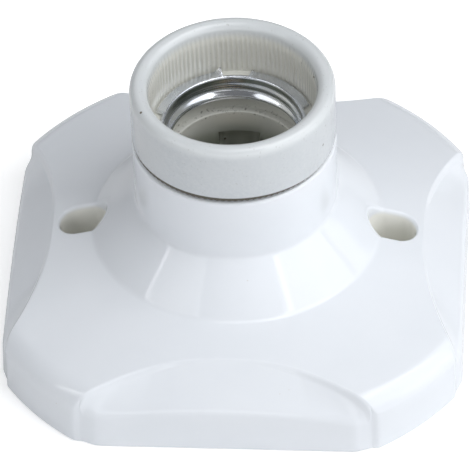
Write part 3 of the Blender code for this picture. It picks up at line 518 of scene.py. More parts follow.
def plated_sheet():
    """Bright plated sheet: fine rolling lines, dull patches, and the torn flange's raised tips whiter, partly
    scraped bright and partly a painted highlight.
    """
    finish = Finish("plated sheet steel", {"Metallic": 1.0})
    z = finish.axis("Z")
    lines = finish.noise(90.0, 6.0, 0.7, finish.stretched((1.0, 1.0, 26.0)))
    on_flange = finish.rises(z, FLANGE_SEAT, 0.5, 0.75)
    finish.paint(finish.ranged(finish.noise(170.0), 0.35, 0.7), (0.80, 0.81, 0.83), (0.66, 0.69, 0.74))
    # Whiter where the torn flange stands highest: partly scraped bright metal, partly a painted highlight on
    # the burr tips.
    finish.paint(finish.rises(z, FLANGE_SEAT, 0.85, 1.2), (0.93, 0.94, 0.95))
    finish.bump(lines, 0.012 * MM)
    finish.bump(finish.product(on_flange, finish.noise(1100.0, 3.0)), 0.08 * MM)
    rough = finish.ranged(lines, 0.3, 0.7, 0.08, 0.22)
    return finish.done(finish.maths("ADD", rough, finish.product(on_flange, 0.1)))


def screw_metal(name, dark, bright, roughness):
    """Turned metal: grain across the piece, and darker stains."""
    finish = Finish(name, {"Metallic": 1.0})
    grain = finish.noise(260.0, 6.0, 0.65, finish.stretched((1.0, 1.0, 5.0)))
    finish.paint(finish.ranged(finish.noise(330.0, 3.0), 0.42, 0.72), dark, bright)
    finish.bump(grain, 0.015 * MM)
    return finish.done(finish.ranged(grain, 0.3, 0.7, roughness - 0.08, roughness + 0.12))


# The cover's form

def ease(value):
    value = min(max(value, 0.0), 1.0)
    return value * value * (3.0 - 2.0 * value)


def side_angle(angle):
    """Angle to the middle of the nearest side."""
    quarter = 0.5 * math.pi
    return abs((angle + 0.5 * quarter) % quarter - 0.5 * quarter)


def softened_least(first, second):
    """The smaller of two radii, with the corner where they cross eased off."""
    near = max(1.0 - abs(first - second) / LOBE_END_SOFTNESS, 0.0)
    return min(first, second) - 0.25 * LOBE_END_SOFTNESS * near * near


def outline_radius(angle):
    """Reach of the cover's foot: a side's face and slanted ends, and a corner with its grooves."""
    turn = side_angle(angle)
    if turn <= GROOVE_ANGLE:
        return softened_least(LOBE_REACH / math.cos(turn), END_OFFSET / math.cos(turn - LOBE_END_ANGLE))
    return softened_least(CORNER_RADIUS, GROOVE.y / math.cos(turn))


def top_outline(angle):
    """Reach of the cover's outer edge, which the draft of the sides pulls in."""
    return outline_radius(angle) - DRAFT * LOBE_FACE_HEIGHT


def bite_distance(radius, angle):
    """Distance from the curved step of the nearest lobe, above zero on the plateau."""
    turn = side_angle(angle)
    return math.hypot(radius * math.sin(turn), BITE_CENTRE - radius * math.cos(turn)) - BITE_RADIUS


def bite_crossing(angle, offset):
    """Radius at which a direction crosses the curved step, or a radius past the cover if it doesn't."""
    turn = side_angle(angle)
    reach = BITE_RADIUS + offset
    across = BITE_CENTRE * math.sin(turn)
    if across >= reach:
        return 2.0 * CORNER_RADIUS
    return BITE_CENTRE * math.cos(turn) - math.sqrt(reach * reach - across * across)


def rounding_drop(inset, rounding):
    """How far a rounded edge lies below the sharp one, at an inset from it."""
    run = min(max(rounding - inset, 0.0), rounding)
    return rounding - math.sqrt(rounding * rounding - run * run)


def lobe_and_plateau(radius, angle):
    """Heights of the two surfaces that the curved step parts, each with its rounded outer edge."""
    turn = side_angle(angle)
    across = radius * math.sin(turn)
    outward = radius * math.cos(turn)
    plateau = PLATEAU_HEIGHT - PLATEAU_FALL * (radius - PLATEAU_RADIUS)
    lobe = APEX_HEIGHT - LOBE_FALL * (outward - BITE_APEX) - across ** 2 / (2.0 * LOBE_CROWN_RADIUS)
    outline = top_outline(angle)
    edge_drop = rounding_drop(outline - radius, LOBE_EDGE_ROUND)
    at_groove = ease((CORNER_RADIUS - outline) / LOBE_EDGE_ROUND)
    return (min(lobe, plateau) - edge_drop,
            plateau - rounding_drop(CORNER_RADIUS - radius, CORNER_EDGE_ROUND) - at_groove * edge_drop)


def roof_height(radius, angle):
    """Height of the cover's outside: cone, plateau, curved step and rounded outer edge."""
    if radius <= PLATEAU_RADIUS:
        return PLATEAU_HEIGHT + CONE_SLOPE * (PLATEAU_RADIUS - radius)
    low, high = lobe_and_plateau(radius, angle)
    distance = bite_distance(radius, angle)
    edge = bite_crossing(angle, 0.0)
    outline = top_outline(angle)
    if edge < outline:
        # The lobe rises toward the step, which keeps the step low along its whole length
        edge_low, edge_high = lobe_and_plateau(edge, angle)
        spare = max(edge_high - edge_low - STEP_HEIGHT, 0.0)
        low += spare * min(max((outline - radius) / (outline - edge), 0.0), 1.0)
    return low + (high - low) * ease(distance / STEP_WIDTH + 0.5)


def spread(start, end, count):
    """Evenly spaced values from start up to, but not at, end."""
    return [start + (end - start) * step / count for step in range(count)]


def fillet(before, corner, after, radius, count=6):
    """Points of a smooth curve that rounds a corner of a profile."""
    before, corner, after = (Vector(point) for point in (before, corner, after))
    into = (before - corner).normalized() * radius
    out = (after - corner).normalized() * radius
    shares = [step / count for step in range(count + 1)]
    return [tuple(corner + into * (1.0 - share) ** 2 + out * share ** 2) for share in shares]


def arc(centre, radius, start, end, count):
    """Points on an arc between two angles in degrees, with both ends."""
    turns = [math.radians(start + (end - start) * step / count) for step in range(count + 1)]
    return [(centre[0] + radius * math.cos(turn), centre[1] + radius * math.sin(turn)) for turn in turns]


def cover_outside(angle, roof):
    """Section of the cover's outside in one direction, from the collar's lip to its outer edge."""
    half_lip = 0.5 * COLLAR_WALL
    rows = []
    for step in range(11):
        turn = math.pi * (1.0 - step / 10)
        flattened = math.copysign(abs(math.cos(turn)) ** 0.6, math.cos(turn))
        rows.append((BORE_RADIUS + half_lip * (1.0 + flattened),
                     COLLAR_TOP - COLLAR_LIP_ROUND * (1.0 - math.sin(turn))))
    crease = (COLLAR_RADIUS, COLLAR_FOOT)
    foot = (PLATEAU_RADIUS, PLATEAU_HEIGHT)
    beyond = (PLATEAU_RADIUS + FOOT_FILLET, PLATEAU_HEIGHT - FOOT_FILLET * PLATEAU_FALL)
    rows += [(COLLAR_RADIUS, height)
             for height in spread(COLLAR_TOP - 2.0 * COLLAR_LIP_ROUND, COLLAR_FOOT + MM, 4)]
    rows += fillet((COLLAR_RADIUS, COLLAR_TOP), crease, foot, FOOT_FILLET)
    rows += roof(spread(COLLAR_RADIUS + 2.0 * FOOT_FILLET, PLATEAU_RADIUS - 2.0 * FOOT_FILLET, 6))
    rows += fillet(crease, foot, beyond, FOOT_FILLET)
    outline = top_outline(angle)
    radii = spread(PLATEAU_RADIUS + 2.0 * FOOT_FILLET, outline - CORNER_EDGE_ROUND, 12)
    for row in range(EDGE_ROWS + 1):
        over_step = bite_crossing(angle, 0.6 * STEP_WIDTH * (1.0 - 2.0 * row / EDGE_ROWS))
        radii.append(min(over_step, outline - 0.01 * MM * (EDGE_ROWS + 1 - row)))
        radii.append(outline - CORNER_EDGE_ROUND * (1.0 - math.sin(2.0 * CORNER * row / EDGE_ROWS)))
    return rows + roof(sorted(radii))


def cover_rows(angle):
    """Closed section of the cover in one direction, from the collar's lip over the outside and back."""
    def roof(radii, drop=0.0):
        return [(radius, roof_height(radius, angle) - drop) for radius in radii]

    rows = cover_outside(angle, roof)
    outline = top_outline(angle)
    base = outline_radius(angle)
    edge_height = rows[-1][1]
    rows += [(outline + (base - outline) * share, edge_height * (1.0 - share)) for share in (0.25, 0.5, 0.75)]
    rows += [(base, BACK_CHAMFER), (base - BACK_CHAMFER, 0.0), (base - COVER_WALL + BACK_CHAMFER, 0.0),
             (base - COVER_WALL, BACK_CHAMFER)]
    inner = outline - COVER_WALL
    ceiling = roof_height(inner, angle) - COVER_WALL
    rows += [(base - COVER_WALL - (base - outline) * share, ceiling * share) for share in (0.4, 0.7)]
    rows += fillet((base - COVER_WALL, 0.0), (inner, ceiling), (inner - COVER_WALL, ceiling), 0.6 * MM, 3)
    under_start = outline - 1.9 * COVER_WALL
    under = [min(bite_crossing(angle, offset), under_start - 0.05 * COVER_WALL * place)
             for place, offset in enumerate((-STEP_WIDTH, 0.0, STEP_WIDTH))]
    rows += roof([under_start + 0.1 * MM] + under + spread(under[-1] - MM, PLATEAU_RADIUS, 5), COVER_WALL)
    rows.append((PLATEAU_RADIUS - 0.4 * COVER_WALL, PLATEAU_HEIGHT - COVER_WALL))
    slant = COVER_WALL * math.hypot(1.0, CONE_SLOPE)
    top_inside = (SLEEVE_RADIUS, roof_height(SLEEVE_RADIUS + FOOT_FILLET, angle) - slant)
    rows += fillet((PLATEAU_RADIUS, PLATEAU_HEIGHT - slant), top_inside, (SLEEVE_RADIUS, 0.0), FOOT_FILLET, 3)
    rows += [(SLEEVE_RADIUS, SLEEVE_BOTTOM + 4.0 * MM), (SLEEVE_RADIUS, SLEEVE_BOTTOM + SLEEVE_CHAMFER),
             (SLEEVE_RADIUS - SLEEVE_CHAMFER, SLEEVE_BOTTOM), (BORE_RADIUS + SLEEVE_CHAMFER, SLEEVE_BOTTOM),
             (BORE_RADIUS, SLEEVE_BOTTOM + SLEEVE_CHAMFER), (BORE_RADIUS, EAR_TOP + MM)]
    return rows + [(BORE_RADIUS, COLLAR_FOOT)]


def slot_point(angle, radius):
    """Point on a slot's outline in one direction from its middle. The slot lies along X."""
    side = (math.cos(angle) > 1e-6) - (math.cos(angle) < -1e-6)
    return Vector((SLOT_MIDDLE + radius * math.cos(angle) + 0.5 * side * SLOT_STRAIGHT,
                   radius * math.sin(angle)))


def slot_cutter():
    """The space of a slot, flared where it meets the roof so that its rim comes out rounded."""
    # How far each row stands out from the slot, and its height above the roof, in rim roundings
    flare = [(0.0, None), (0.0, -2.4), (0.1, -1.0), (0.3, -0.42), (0.6, -0.12), (1.0, 0.06), (1.6, 0.9)]

    def place(row, angle):
        out, rise = flare[row]
        point = slot_point(angle, SLOT_RADIUS + out * SLOT_RIM_ROUND)
        rim = slot_point(angle, SLOT_RADIUS + 0.5 * SLOT_RIM_ROUND)
        roof = roof_height(rim.length, math.atan2(rim.y, rim.x))
        return Vector((*point, -COVER_WALL if rise is None else roof + rise * SLOT_RIM_ROUND))

    return spun(len(flare), SLOT_STEPS, place, closed=False)


def slot_boss():
    """Wall round a slot, from inside the roof down to the back face."""
    outer = SLOT_RADIUS + SLOT_WALL
    inner = 0.1 * SLOT_WIDTH
    reach = (outer - BACK_CHAMFER, outer, outer, inner, inner)

    def place(row, angle):
        point = slot_point(angle, reach[row])
        roof = roof_height(point.length, math.atan2(point.y, point.x)) - 0.6 * COVER_WALL
        return Vector((*point, (0.0, BACK_CHAMFER, roof, roof, 0.0)[row]))

    return spun(len(reach), BOSS_STEPS, place)


def cover_rib():
    """Upright plate under the roof, along X from the sleeve to a corner."""
    inner = SLEEVE_RADIUS - 0.5 * SLEEVE_WALL
    outer = CORNER_RADIUS - 0.5 * COVER_WALL
    middle = 0.5 * (inner + outer)
    bm = block(outer - inner, RIB_THICKNESS, 0.0, 1.0, 0.1 * MM)
    for cut in (PLATEAU_RADIUS, CORNER_RADIUS - CORNER_EDGE_ROUND):
        bmesh.ops.bisect_plane(bm, geom=bm.verts[:] + bm.edges[:] + bm.faces[:],
                               plane_co=(cut - middle, 0.0, 0.0), plane_no=(1.0, 0.0, 0.0))
    for vert in bm.verts:
        x = vert.co.x + middle
        drop = 0.5 * COVER_WALL if x > PLATEAU_RADIUS - MM else 1.1 * COVER_WALL
        roof = roof_height(min(x, CORNER_RADIUS - 0.4 * CORNER_EDGE_ROUND), CORNER) - drop
        foot = RIB_CLEARANCE + max(0.0, PLATEAU_RADIUS - x) * 0.5
        vert.co = Vector((x, vert.co.y, roof if vert.co.z > 0.5 else foot))
    return bm


def ear():
    """Lug inside the sleeve that carries the porcelain body, lying along X."""
    reach = SLEEVE_RADIUS - 0.5 * SLEEVE_WALL
    inner = BODY_SCREW_CIRCLE - EAR_RADIUS
    lug = block(reach - inner, 2.0 * EAR_RADIUS, EAR_BOTTOM, EAR_TOP, 0.99 * EAR_RADIUS)
    for vert in lug.verts:
        if vert.co.x > 0.0:
            vert.co = Vector((0.5 * (reach - inner), math.copysign(EAR_RADIUS, vert.co.y), vert.co.z))
    bmesh.ops.remove_doubles(lug, verts=lug.verts, dist=0.01 * MM)
    return moved(lug, (0.5 * (reach + inner), 0.0))


def gathered_direction(angle):
    """Moves evenly spread directions together where the outline has its corners."""
    side = round(angle / (0.5 * math.pi)) * 0.5 * math.pi
    turn = abs(angle - side)
    # Ninetieths of the way to the corner, each with the direction that is put there
    stops = ((0.0, 0.0), (42.0, math.atan2(LOBE_HALF_LENGTH, LOBE_REACH)), (62.0, GROOVE_ANGLE),
             (70.0, math.acos(GROOVE.y / CORNER_RADIUS)), (90.0, CORNER))
    place = 90.0 * turn / CORNER
    for (low, start), (high, end) in zip(stops, stops[1:]):
        if place <= high + 1e-6:
            return side + math.copysign(start + (end - start) * (place - low) / (high - low), angle - side)
    return angle


def make_cover(material):
    def section(angle):
        direction = gathered_direction(angle)
        return [(radius, direction, height) for radius, height in cover_rows(direction)]

    cover = make_object("cover", spun_sections(section, COVER_STEPS))
    additions = [moved(slot_boss(), turn=turn) for turn in (0.0, math.pi)]
    additions += [moved(cover_rib(), turn=CORNER * (1 + 2 * side)) for side in range(4)]
    additions += [moved(ear(), turn=turn) for turn in BODY_SCREW_ANGLES]
    carve(cover, additions, "UNION")
    cuts = [moved(slot_cutter(), turn=turn) for turn in (0.0, math.pi)]
    cuts += [hole(BODY_SCREW_RADIUS, EAR_BOTTOM - MM, EAR_TOP + MM, around(BODY_SCREW_CIRCLE, turn))
             for turn in BODY_SCREW_ANGLES]
    carve(cover, cuts)
    finish_piece(cover, "base_cover", material)


# The porcelain body

def porcelain_profile():
    """Profile of (radius, height, share of the ribs), from the floor's middle round to the bottom's."""
    floor_corner = (LOWER_BORE, FLOOR_TOP)
    ledge_edge = (LOWER_BORE, LEDGE_HEIGHT)
    ledge_corner = (SHELL_BORE, LEDGE_HEIGHT)
    seat_edge = (SHELL_BORE, FLANGE_SEAT)
    inside = [(0.0, FLOOR_TOP), (0.5 * LOWER_BORE, FLOOR_TOP)]
    inside += fillet((0.0, FLOOR_TOP), floor_corner, ledge_edge, 0.5 * MM, 3)
    inside += [(LOWER_BORE, 0.5 * (FLOOR_TOP + LEDGE_HEIGHT))]
    inside += fillet(floor_corner, ledge_edge, ledge_corner, 0.3 * MM, 3)
    inside += fillet(ledge_edge, ledge_corner, seat_edge, 0.2 * MM, 2)
    inside += fillet(ledge_corner, seat_edge, (MOUTH_RADIUS, FLANGE_SEAT), 0.2 * MM, 2)
    profile = [(radius, height, 0.0) for radius, height in inside]
    wall_top = RIM_TOP - 1.5 * RIM_ROUND
    profile += [(MOUTH_RADIUS, height, ease((wall_top - height) / MM))
                for height in spread(FLANGE_SEAT, wall_top, 12)]
    outside = arc((MOUTH_RADIUS + RIM_LEAN + RIM_ROUND, RIM_TOP - RIM_ROUND), RIM_ROUND, 180.0, 90.0, 8)
    outside += arc((HEAD_RADIUS - RIM_ROUND, RIM_TOP - RIM_ROUND), RIM_ROUND, 90.0, 0.0, 8)
    outside += [(HEAD_RADIUS, height)
                for height in spread(RIM_TOP - 2.0 * RIM_ROUND, HEAD_BOTTOM + 2.0 * MM, 5)]
    profile += [(radius, height, 0.0) for radius, height in outside]
    foot_top = HEAD_BOTTOM + HEAD_FOOT_ROUND
    profile += [(radius, height, -0.7 * (foot_top - height) / HEAD_FOOT_ROUND) for radius, height
                in arc((HEAD_RADIUS - HEAD_FOOT_ROUND, foot_top), HEAD_FOOT_ROUND, 0.0, -90.0, 6)]
    lower = [(BODY_RADIUS, HEAD_BOTTOM), (BODY_RADIUS, 0.5 * (HEAD_BOTTOM + BODY_BOTTOM))]
    lower += fillet((BODY_RADIUS, HEAD_BOTTOM), (BODY_RADIUS, BODY_BOTTOM), (0.0, BODY_BOTTOM), 0.8 * MM, 4)
    lower += [(0.5 * BODY_RADIUS, BODY_BOTTOM), (0.0, BODY_BOTTOM)]
    return profile + [(radius, height, 0.0) for radius, height in lower]


def porcelain_spaces():
    """The shell's notch, the recess over the contact, the terminals' pockets and the nuts' slots."""
    notch_width = 2.0 * ((THREAD_ROOT + 0.5 * SHELL_SHEET) * math.sin(TAIL_HALF_ANGLE) + NOTCH_CLEARANCE)
    notch_depth = SHELL_BORE - 0.5 * LOWER_BORE
    recess_length = RECESS_DEPTH + 0.5 * LOWER_BORE
    spaces = [moved(block(notch_width, notch_depth, FLOOR_TOP, LEDGE_HEIGHT + COVER_WALL, SPACE_CORNER),
                    (0.0, SHELL_SIDE * (SHELL_BORE - 0.5 * notch_depth))),
              moved(block(RECESS_WIDTH, recess_length, FLOOR_TOP, RECESS_TOP, SPACE_CORNER),
                    (0.0, -SHELL_SIDE * (LOWER_BORE + RECESS_DEPTH - 0.5 * recess_length)))]
    for node in ("shell_terminal", "centre_terminal"):
        low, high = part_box(node)
        room = high - low + Vector((2.0, 2.0, 0.0)) * POCKET_CLEARANCE
        spaces.append(moved(block(room.x, room.y, BODY_BOTTOM - MM, POCKET_CEILING, SPACE_CORNER),
                            0.5 * (low + high)))
    nut_low, nut_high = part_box("body_nut_1")
    for turn in BODY_SCREW_ANGLES:
        slot = block(NUT_ROOM + BODY_RADIUS - BODY_SCREW_CIRCLE, NUT_ROOM, nut_low.z - POCKET_CLEARANCE,
                     nut_high.z + POCKET_CLEARANCE, 0.3 * MM)
        spaces.append(moved(slot, around(0.5 * (BODY_RADIUS + BODY_SCREW_CIRCLE), turn), turn))
    return spaces


def make_porcelain(material):
    profile = porcelain_profile()

    def place(row, angle):
        radius, height, ribs = profile[row]
        return around(radius - ribs * RIB_HEIGHT * math.sin(RIB_COUNT * angle), angle, height)

    body = make_object("porcelain", spun(len(profile), 6 * RIB_COUNT, place, closed=False))
    holes = []
    for side, name in ((SHELL_SIDE, "shell"), (-SHELL_SIDE, "centre")):
        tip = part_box(name + "_wire_screw")[1].z
        offset = side * TERMINAL_OFFSET
        holes.append(hole(FIXING_SCREW_RADIUS, POCKET_CEILING - MM, FLOOR_TOP + MM, (0.0, offset)))
        holes.append(hole(WIRE_SCREW_RADIUS, POCKET_CEILING - MM, tip + 0.6 * MM,
                          (side * WIRE_SCREW_SPACING, offset)))
    nut_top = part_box("body_nut_1")[1].z
    holes += [hole(BODY_SCREW_RADIUS, BODY_BOTTOM - MM, nut_top + 2.0 * MM, around(BODY_SCREW_CIRCLE, turn))
              for turn in BODY_SCREW_ANGLES]
    carve(body, porcelain_spaces())
    carve(body, holes)
    finish_piece(body, "porcelain_body", material, 40.0)


# The rolled shell

def thread_radius(angle, height):
    """Inner radius of the rolled shell. Its thread is right-handed, and fades out at both ends."""
    phase = 2.0 * math.pi * (height - CREST_HEIGHT) / THREAD_PITCH - (angle - 0.5 * math.pi)
    fade = ease((SHELL_LIP - 0.25 * THREAD_PITCH - height) / THREAD_FADE)
    fade *= ease((height - SHELL_BOTTOM) / THREAD_FADE)
    return THREAD_ROOT - 0.5 * (THREAD_ROOT - THREAD_CREST) * (1.0 + math.cos(phase)) * fade


def inside_arc(angle):
    """Angle from the nearest cut end of the flange's arcs, above zero on an arc."""
    degrees = math.degrees(angle) % 180.0
    return math.radians(max(min(degrees - start, end - degrees) for start, end in FLANGE_ARCS))


def flange_share(angle):
    """How far the flange reaches out, from 0 in a gap to 1 on an arc."""
    return ease(0.5 + inside_arc(angle) / math.radians(1.0))


def burr(angle):
    """Height of the torn edge at the ends of each arc, tallest beside the gap at the back."""
    beside_gap = ease(1.5 - abs(math.degrees(angle) - FLANGE_ARCS[1][0]) / 8.0)
    height = (0.4 + 0.7 * beside_gap) * MM
    return height * ease(1.0 - abs(inside_arc(angle)) / math.radians(3.0 + 4.0 * beside_gap))


def make_shell(material):
    climb = spread(SHELL_BOTTOM, SHELL_LIP, THREAD_ROWS)[1:] + [SHELL_LIP]

    def section(angle):
        on_tail = abs(angle - SHELL_SIDE * 0.5 * math.pi) <= TAIL_HALF_ANGLE
        bottom = FOOT_BOTTOM if on_tail else SHELL_BOTTOM
        face = [(THREAD_ROOT, bottom)] + [(thread_radius(angle, height), height) for height in climb]
        reach = THREAD_ROOT + 2.0 * SHELL_SHEET
        reach += (FLANGE_RADIUS - reach) * flange_share(angle)
        raised = burr(angle) * flange_share(angle)
        roll = ((THREAD_ROOT + 0.15 * SHELL_SHEET, 0.5 * SHELL_SHEET),
                (THREAD_ROOT + 0.5 * SHELL_SHEET, 0.9 * SHELL_SHEET),
                (THREAD_ROOT + 1.2 * SHELL_SHEET, SHELL_SHEET),
                (reach - SHELL_SHEET, SHELL_SHEET + 0.7 * raised),
                (reach - 0.15 * SHELL_SHEET, 0.85 * SHELL_SHEET + raised),
                (reach, 0.5 * (SHELL_SHEET + raised)), (reach, 0.0))
        rows = face + [(radius, SHELL_LIP + rise) for radius, rise in roll]
        rows += [(radius + SHELL_SHEET, height) for radius, height in reversed(face)]
        return [(radius, angle, height) for radius, height in rows]

    shell = make_object("shell", spun_sections(section, SHELL_STEPS))
    foot_start = TERMINAL_OFFSET - 0.5 * TAIL_FOOT_WIDTH
    foot_end = (THREAD_ROOT + 0.5 * SHELL_SHEET) * math.cos(TAIL_HALF_ANGLE)
    foot = block(TAIL_FOOT_WIDTH, foot_end - foot_start, FOOT_BOTTOM - 0.04 * MM, FOOT_BOTTOM + SHELL_SHEET,
                 0.8 * MM)
    carve(shell, [moved(foot, (0.0, SHELL_SIDE * 0.5 * (foot_start + foot_end)))], "UNION")
    carve(shell, [hole(FIXING_SCREW_RADIUS, FOOT_BOTTOM - MM, FOOT_BOTTOM + MM,
                       (0.0, SHELL_SIDE * TERMINAL_OFFSET))])
    finish_piece(shell, "screw_shell", material, 50.0)


# Contacts, terminals and screws

def make_leaf(material):
    """Leaf of springy sheet, from its foot under a screw up to a crowned tongue."""
    low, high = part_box("centre_contact")
    width = high.x - low.x
    start = -max(-low.y, high.y)
    tip = min(-low.y, high.y)
    foot_end = -TERMINAL_OFFSET + 2.6 * MM
    top = high.z - LEAF_THICKNESS
    bend = (foot_end, FOOT_BOTTOM)
    crown_start = (-0.2 * width, top)
    crown_end = (0.3 * width, top)
    tongue_tip = (tip, top - 0.8 * MM)
    line = [(start, FOOT_BOTTOM), (foot_end - MM, FOOT_BOTTOM)]
    line += fillet((start, FOOT_BOTTOM), bend, crown_start, MM, 5)
    line += fillet(bend, crown_start, crown_end, 1.2 * MM, 5)
    line += fillet(crown_start, crown_end, tongue_tip, MM, 5)
    line.append(tongue_tip)
    bm = bmesh.new()
    chain = [bm.verts.new((-0.5 * width, y, z)) for y, z in line]
    edges = [bm.edges.new(pair) for pair in zip(chain, chain[1:])]
    raised = bmesh.ops.extrude_edge_only(bm, edges=edges)
    far = [item for item in raised["geom"] if isinstance(item, bmesh.types.BMVert)]
    bmesh.ops.translate(bm, vec=(width, 0.0, 0.0), verts=far)
    bmesh.ops.remove_doubles(bm, verts=bm.verts, dist=0.01 * MM)
    corners = [vert for vert in bm.verts if len(vert.link_edges) == 2]
    bmesh.ops.bevel(bm, geom=corners, offset=0.25 * width, segments=6, profile=0.5, affect="VERTICES")
    bmesh.ops.recalc_face_normals(bm, faces=bm.faces)
    if sum(face.normal.z for face in bm.faces) < 0.0:
        bmesh.ops.reverse_faces(bm, faces=bm.faces)
    bmesh.ops.solidify(bm, geom=bm.faces[:], thickness=-LEAF_THICKNESS)
    bmesh.ops.scale(bm, vec=(SHELL_SIDE, SHELL_SIDE, 1.0), verts=bm.verts)
    bmesh.ops.recalc_face_normals(bm, faces=bm.faces)
    leaf = make_object("contact_leaf", bm)
    carve(leaf, [hole(FIXING_SCREW_RADIUS, FOOT_BOTTOM - MM, FOOT_BOTTOM + 1.5 * MM,
                      (0.0, -SHELL_SIDE * TERMINAL_OFFSET))])
    finish_piece(leaf, "centre_contact", material)


def make_plate(name, node, corner, edge, holes, material, turn=0.0, size=None):
    """A flat piece with round corners in the place of its node. Each hole is a screw's radius and place."""
    low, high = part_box(node)
    middle = 0.5 * (low + high)
    length, width = size or (high.x - low.x, high.y - low.y)
    plate = make_object(name, moved(block(length, width, low.z, high.z, corner, edge), middle.xy, turn))
    carve(plate, [hole(radius, low.z - MM, high.z + MM, place) for radius, place in holes])
    finish_piece(plate, node, material)


def screw_form(head_radius, head_height, radius, pitch, length):
    """Pan-head screw about Z, with its head's seat at zero and its thread below."""
    crown = 0.35 * head_height
    chamfer = 0.12 * MM
    head = [(0.0, head_height), (0.5 * head_radius, 0.99 * head_height)]
    head += arc((head_radius - crown, head_height - crown), crown, 75.0, 0.0, 5)
    head += [(head_radius, chamfer), (head_radius - chamfer, 0.0), (radius, 0.0)]
    runout = 0.6 * MM
    rows_per_turn = 8
    thread = spread(-0.2 * MM, -length + 0.4 * radius, int(rows_per_turn * length / pitch))
    depth = 0.3 * pitch

    def place(row, angle):
        if row < len(head):
            reach, height = head[row]
            return around(reach, angle, height)
        if row < len(head) + len(thread):
            height = thread[row - len(head)]
            wave = 0.5 - 0.5 * math.cos(2.0 * math.pi * height / pitch - angle)
            return around(radius - depth * wave * ease(-height / runout), angle, height)
        end = row - len(head) - len(thread)
        return around((radius - depth, 0.6 * radius, 0.0)[end], angle,
                      (0.4 * radius - length, -length, -length)[end])

    return spun(len(head) + len(thread) + 3, SCREW_STEPS, place, closed=False)


def make_screw(name, node, sizes, head_up, material):
    """A slotted screw in the place of its node, from the sizes of its kind."""
    head_radius, head_height = sizes[:2]
    low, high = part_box(node)
    middle = 0.5 * (low + high)
    seat = high.z - head_height if head_up else low.z + head_height
    screw = make_object(name, screw_form(*sizes, high.z - low.z - head_height))
    depth = 0.45 * head_height
    slot = block(3.0 * head_radius, SCREW_SLOT_WIDTH, head_height - depth, head_height + depth, 0.05 * MM)
    carve(screw, [slot])
    flip = Matrix.Rotation(0.0 if head_up else math.pi, 4, "X")
    turn = Matrix.Rotation(SCREW_SLOT_TURN, 4, "Z")
    screw.data.transform(Matrix.Translation((middle.x, middle.y, seat)) @ turn @ flip)
    finish_piece(screw, node, material, 45.0)


def make_washer(name, node, screw_radius, material):
    low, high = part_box(node)
    inner = screw_radius + HOLE_CLEARANCE
    outer = 0.5 * (high.x - low.x)
    edge = 0.1 * MM
    profile = [(inner, high.z), (outer - edge, high.z), (outer, high.z - edge), (outer, low.z + edge),
               (outer - edge, low.z), (inner, low.z)]
    ring = spun_sections(lambda angle: [(radius, angle, height) for radius, height in profile], WASHER_STEPS)
    finish_piece(make_object(name, moved(ring, 0.5 * (low + high))), node, material)


def make_connections(brass, steel, bronze):
    make_leaf(bronze)
    for side, name in ((SHELL_SIDE, "shell"), (-SHELL_SIDE, "centre")):
        fixing_hole = (FIXING_SCREW_RADIUS, (0.0, side * TERMINAL_OFFSET))
        wire_hole = (WIRE_SCREW_RADIUS, (side * WIRE_SCREW_SPACING, side * TERMINAL_OFFSET))
        make_plate(name + "_block", name + "_terminal", 1.7 * MM, 0.15 * MM, [fixing_hole, wire_hole], brass)
        make_plate(name + "_clamp", name + "_wire_clamp", 1.4 * MM, 0.12 * MM, [wire_hole], brass)
        make_screw(name + "_foot_screw", name + "_fixing_screw", FIXING_SCREW, True, steel)
        make_screw(name + "_clamp_screw", name + "_wire_screw", WIRE_SCREW, False, brass)
    for index, turn in enumerate(BODY_SCREW_ANGLES, start=1):
        nut_hole = (BODY_SCREW_RADIUS, around(BODY_SCREW_CIRCLE, turn).xy)
        make_screw(f"holding_screw_{index}", f"body_screw_{index}", BODY_SCREW, False, steel)
        make_washer(f"holding_washer_{index}", f"body_washer_{index}", BODY_SCREW_RADIUS, steel)
        make_plate(f"holding_nut_{index}", f"body_nut_{index}", 0.5 * MM, 0.15 * MM, [nut_hole], steel,
                   turn, (NUT_SIDE, NUT_SIDE))


# Camera, floor and light

CAMERA_DISTANCE = 1.0
CAMERA_ELEVATION = math.radians(44.0)
OBJECT_TURN = math.radians(5.063)
PICTURE_ROLL = math.radians(2.284)
AIM_RIGHT = -0.594 * MM
AIM_UP = 10.053 * MM
PIXELS_PER_METRE = 5028.0
PICTURE_WIDTH = 470
SENSOR_WIDTH = 36.0
FLOOR_SIZE = 6.0
FLOOR_GLOW = 0.42
WORLD_STRENGTH = 0.19
LAMP_COLOUR = (0.975, 0.99, 1.01)
LAMP_AIM_HEIGHT = 20.0 * MM

# Name, azimuth, elevation, distance, width, height and strength of each soft light
SOFTBOXES = (
    ("right softbox", 65.5, 37.0, 0.75, 0.60, 0.70, 1.40),
    ("right softbox edge", 40.5, 42.0, 0.75, 0.035, 0.50, 2.4),
    ("high right softbox", 75.0, 68.0, 0.75, 0.35, 0.35, 2.2),
    ("middle right softbox", 88.0, 50.0, 0.75, 0.45, 0.45, 0.5),
    ("low right softbox", 80.0, 8.0, 0.75, 0.60, 0.20, 1.5),
    ("back right softbox", 108.0, 36.0, 0.75, 0.35, 0.50, 1.0),
    ("front right softbox", 25.0, 20.0, 0.75, 0.50, 0.30, 1.35),
    ("front left softbox", -20.0, 18.0, 0.75, 0.50, 0.25, 1.5),
    ("left softbox", -55.5, 39.0, 0.75, 0.42, 0.40, 1.2),
    ("left softbox edge", -74.5, 35.0, 0.75, 0.03, 0.45, 3.4),
    ("overhead softbox", 20.0, 80.0, 0.80, 0.40, 0.40, 1.6),
    ("back softbox", 195.0, 42.0, 0.85, 0.60, 0.40, 0.5),
)


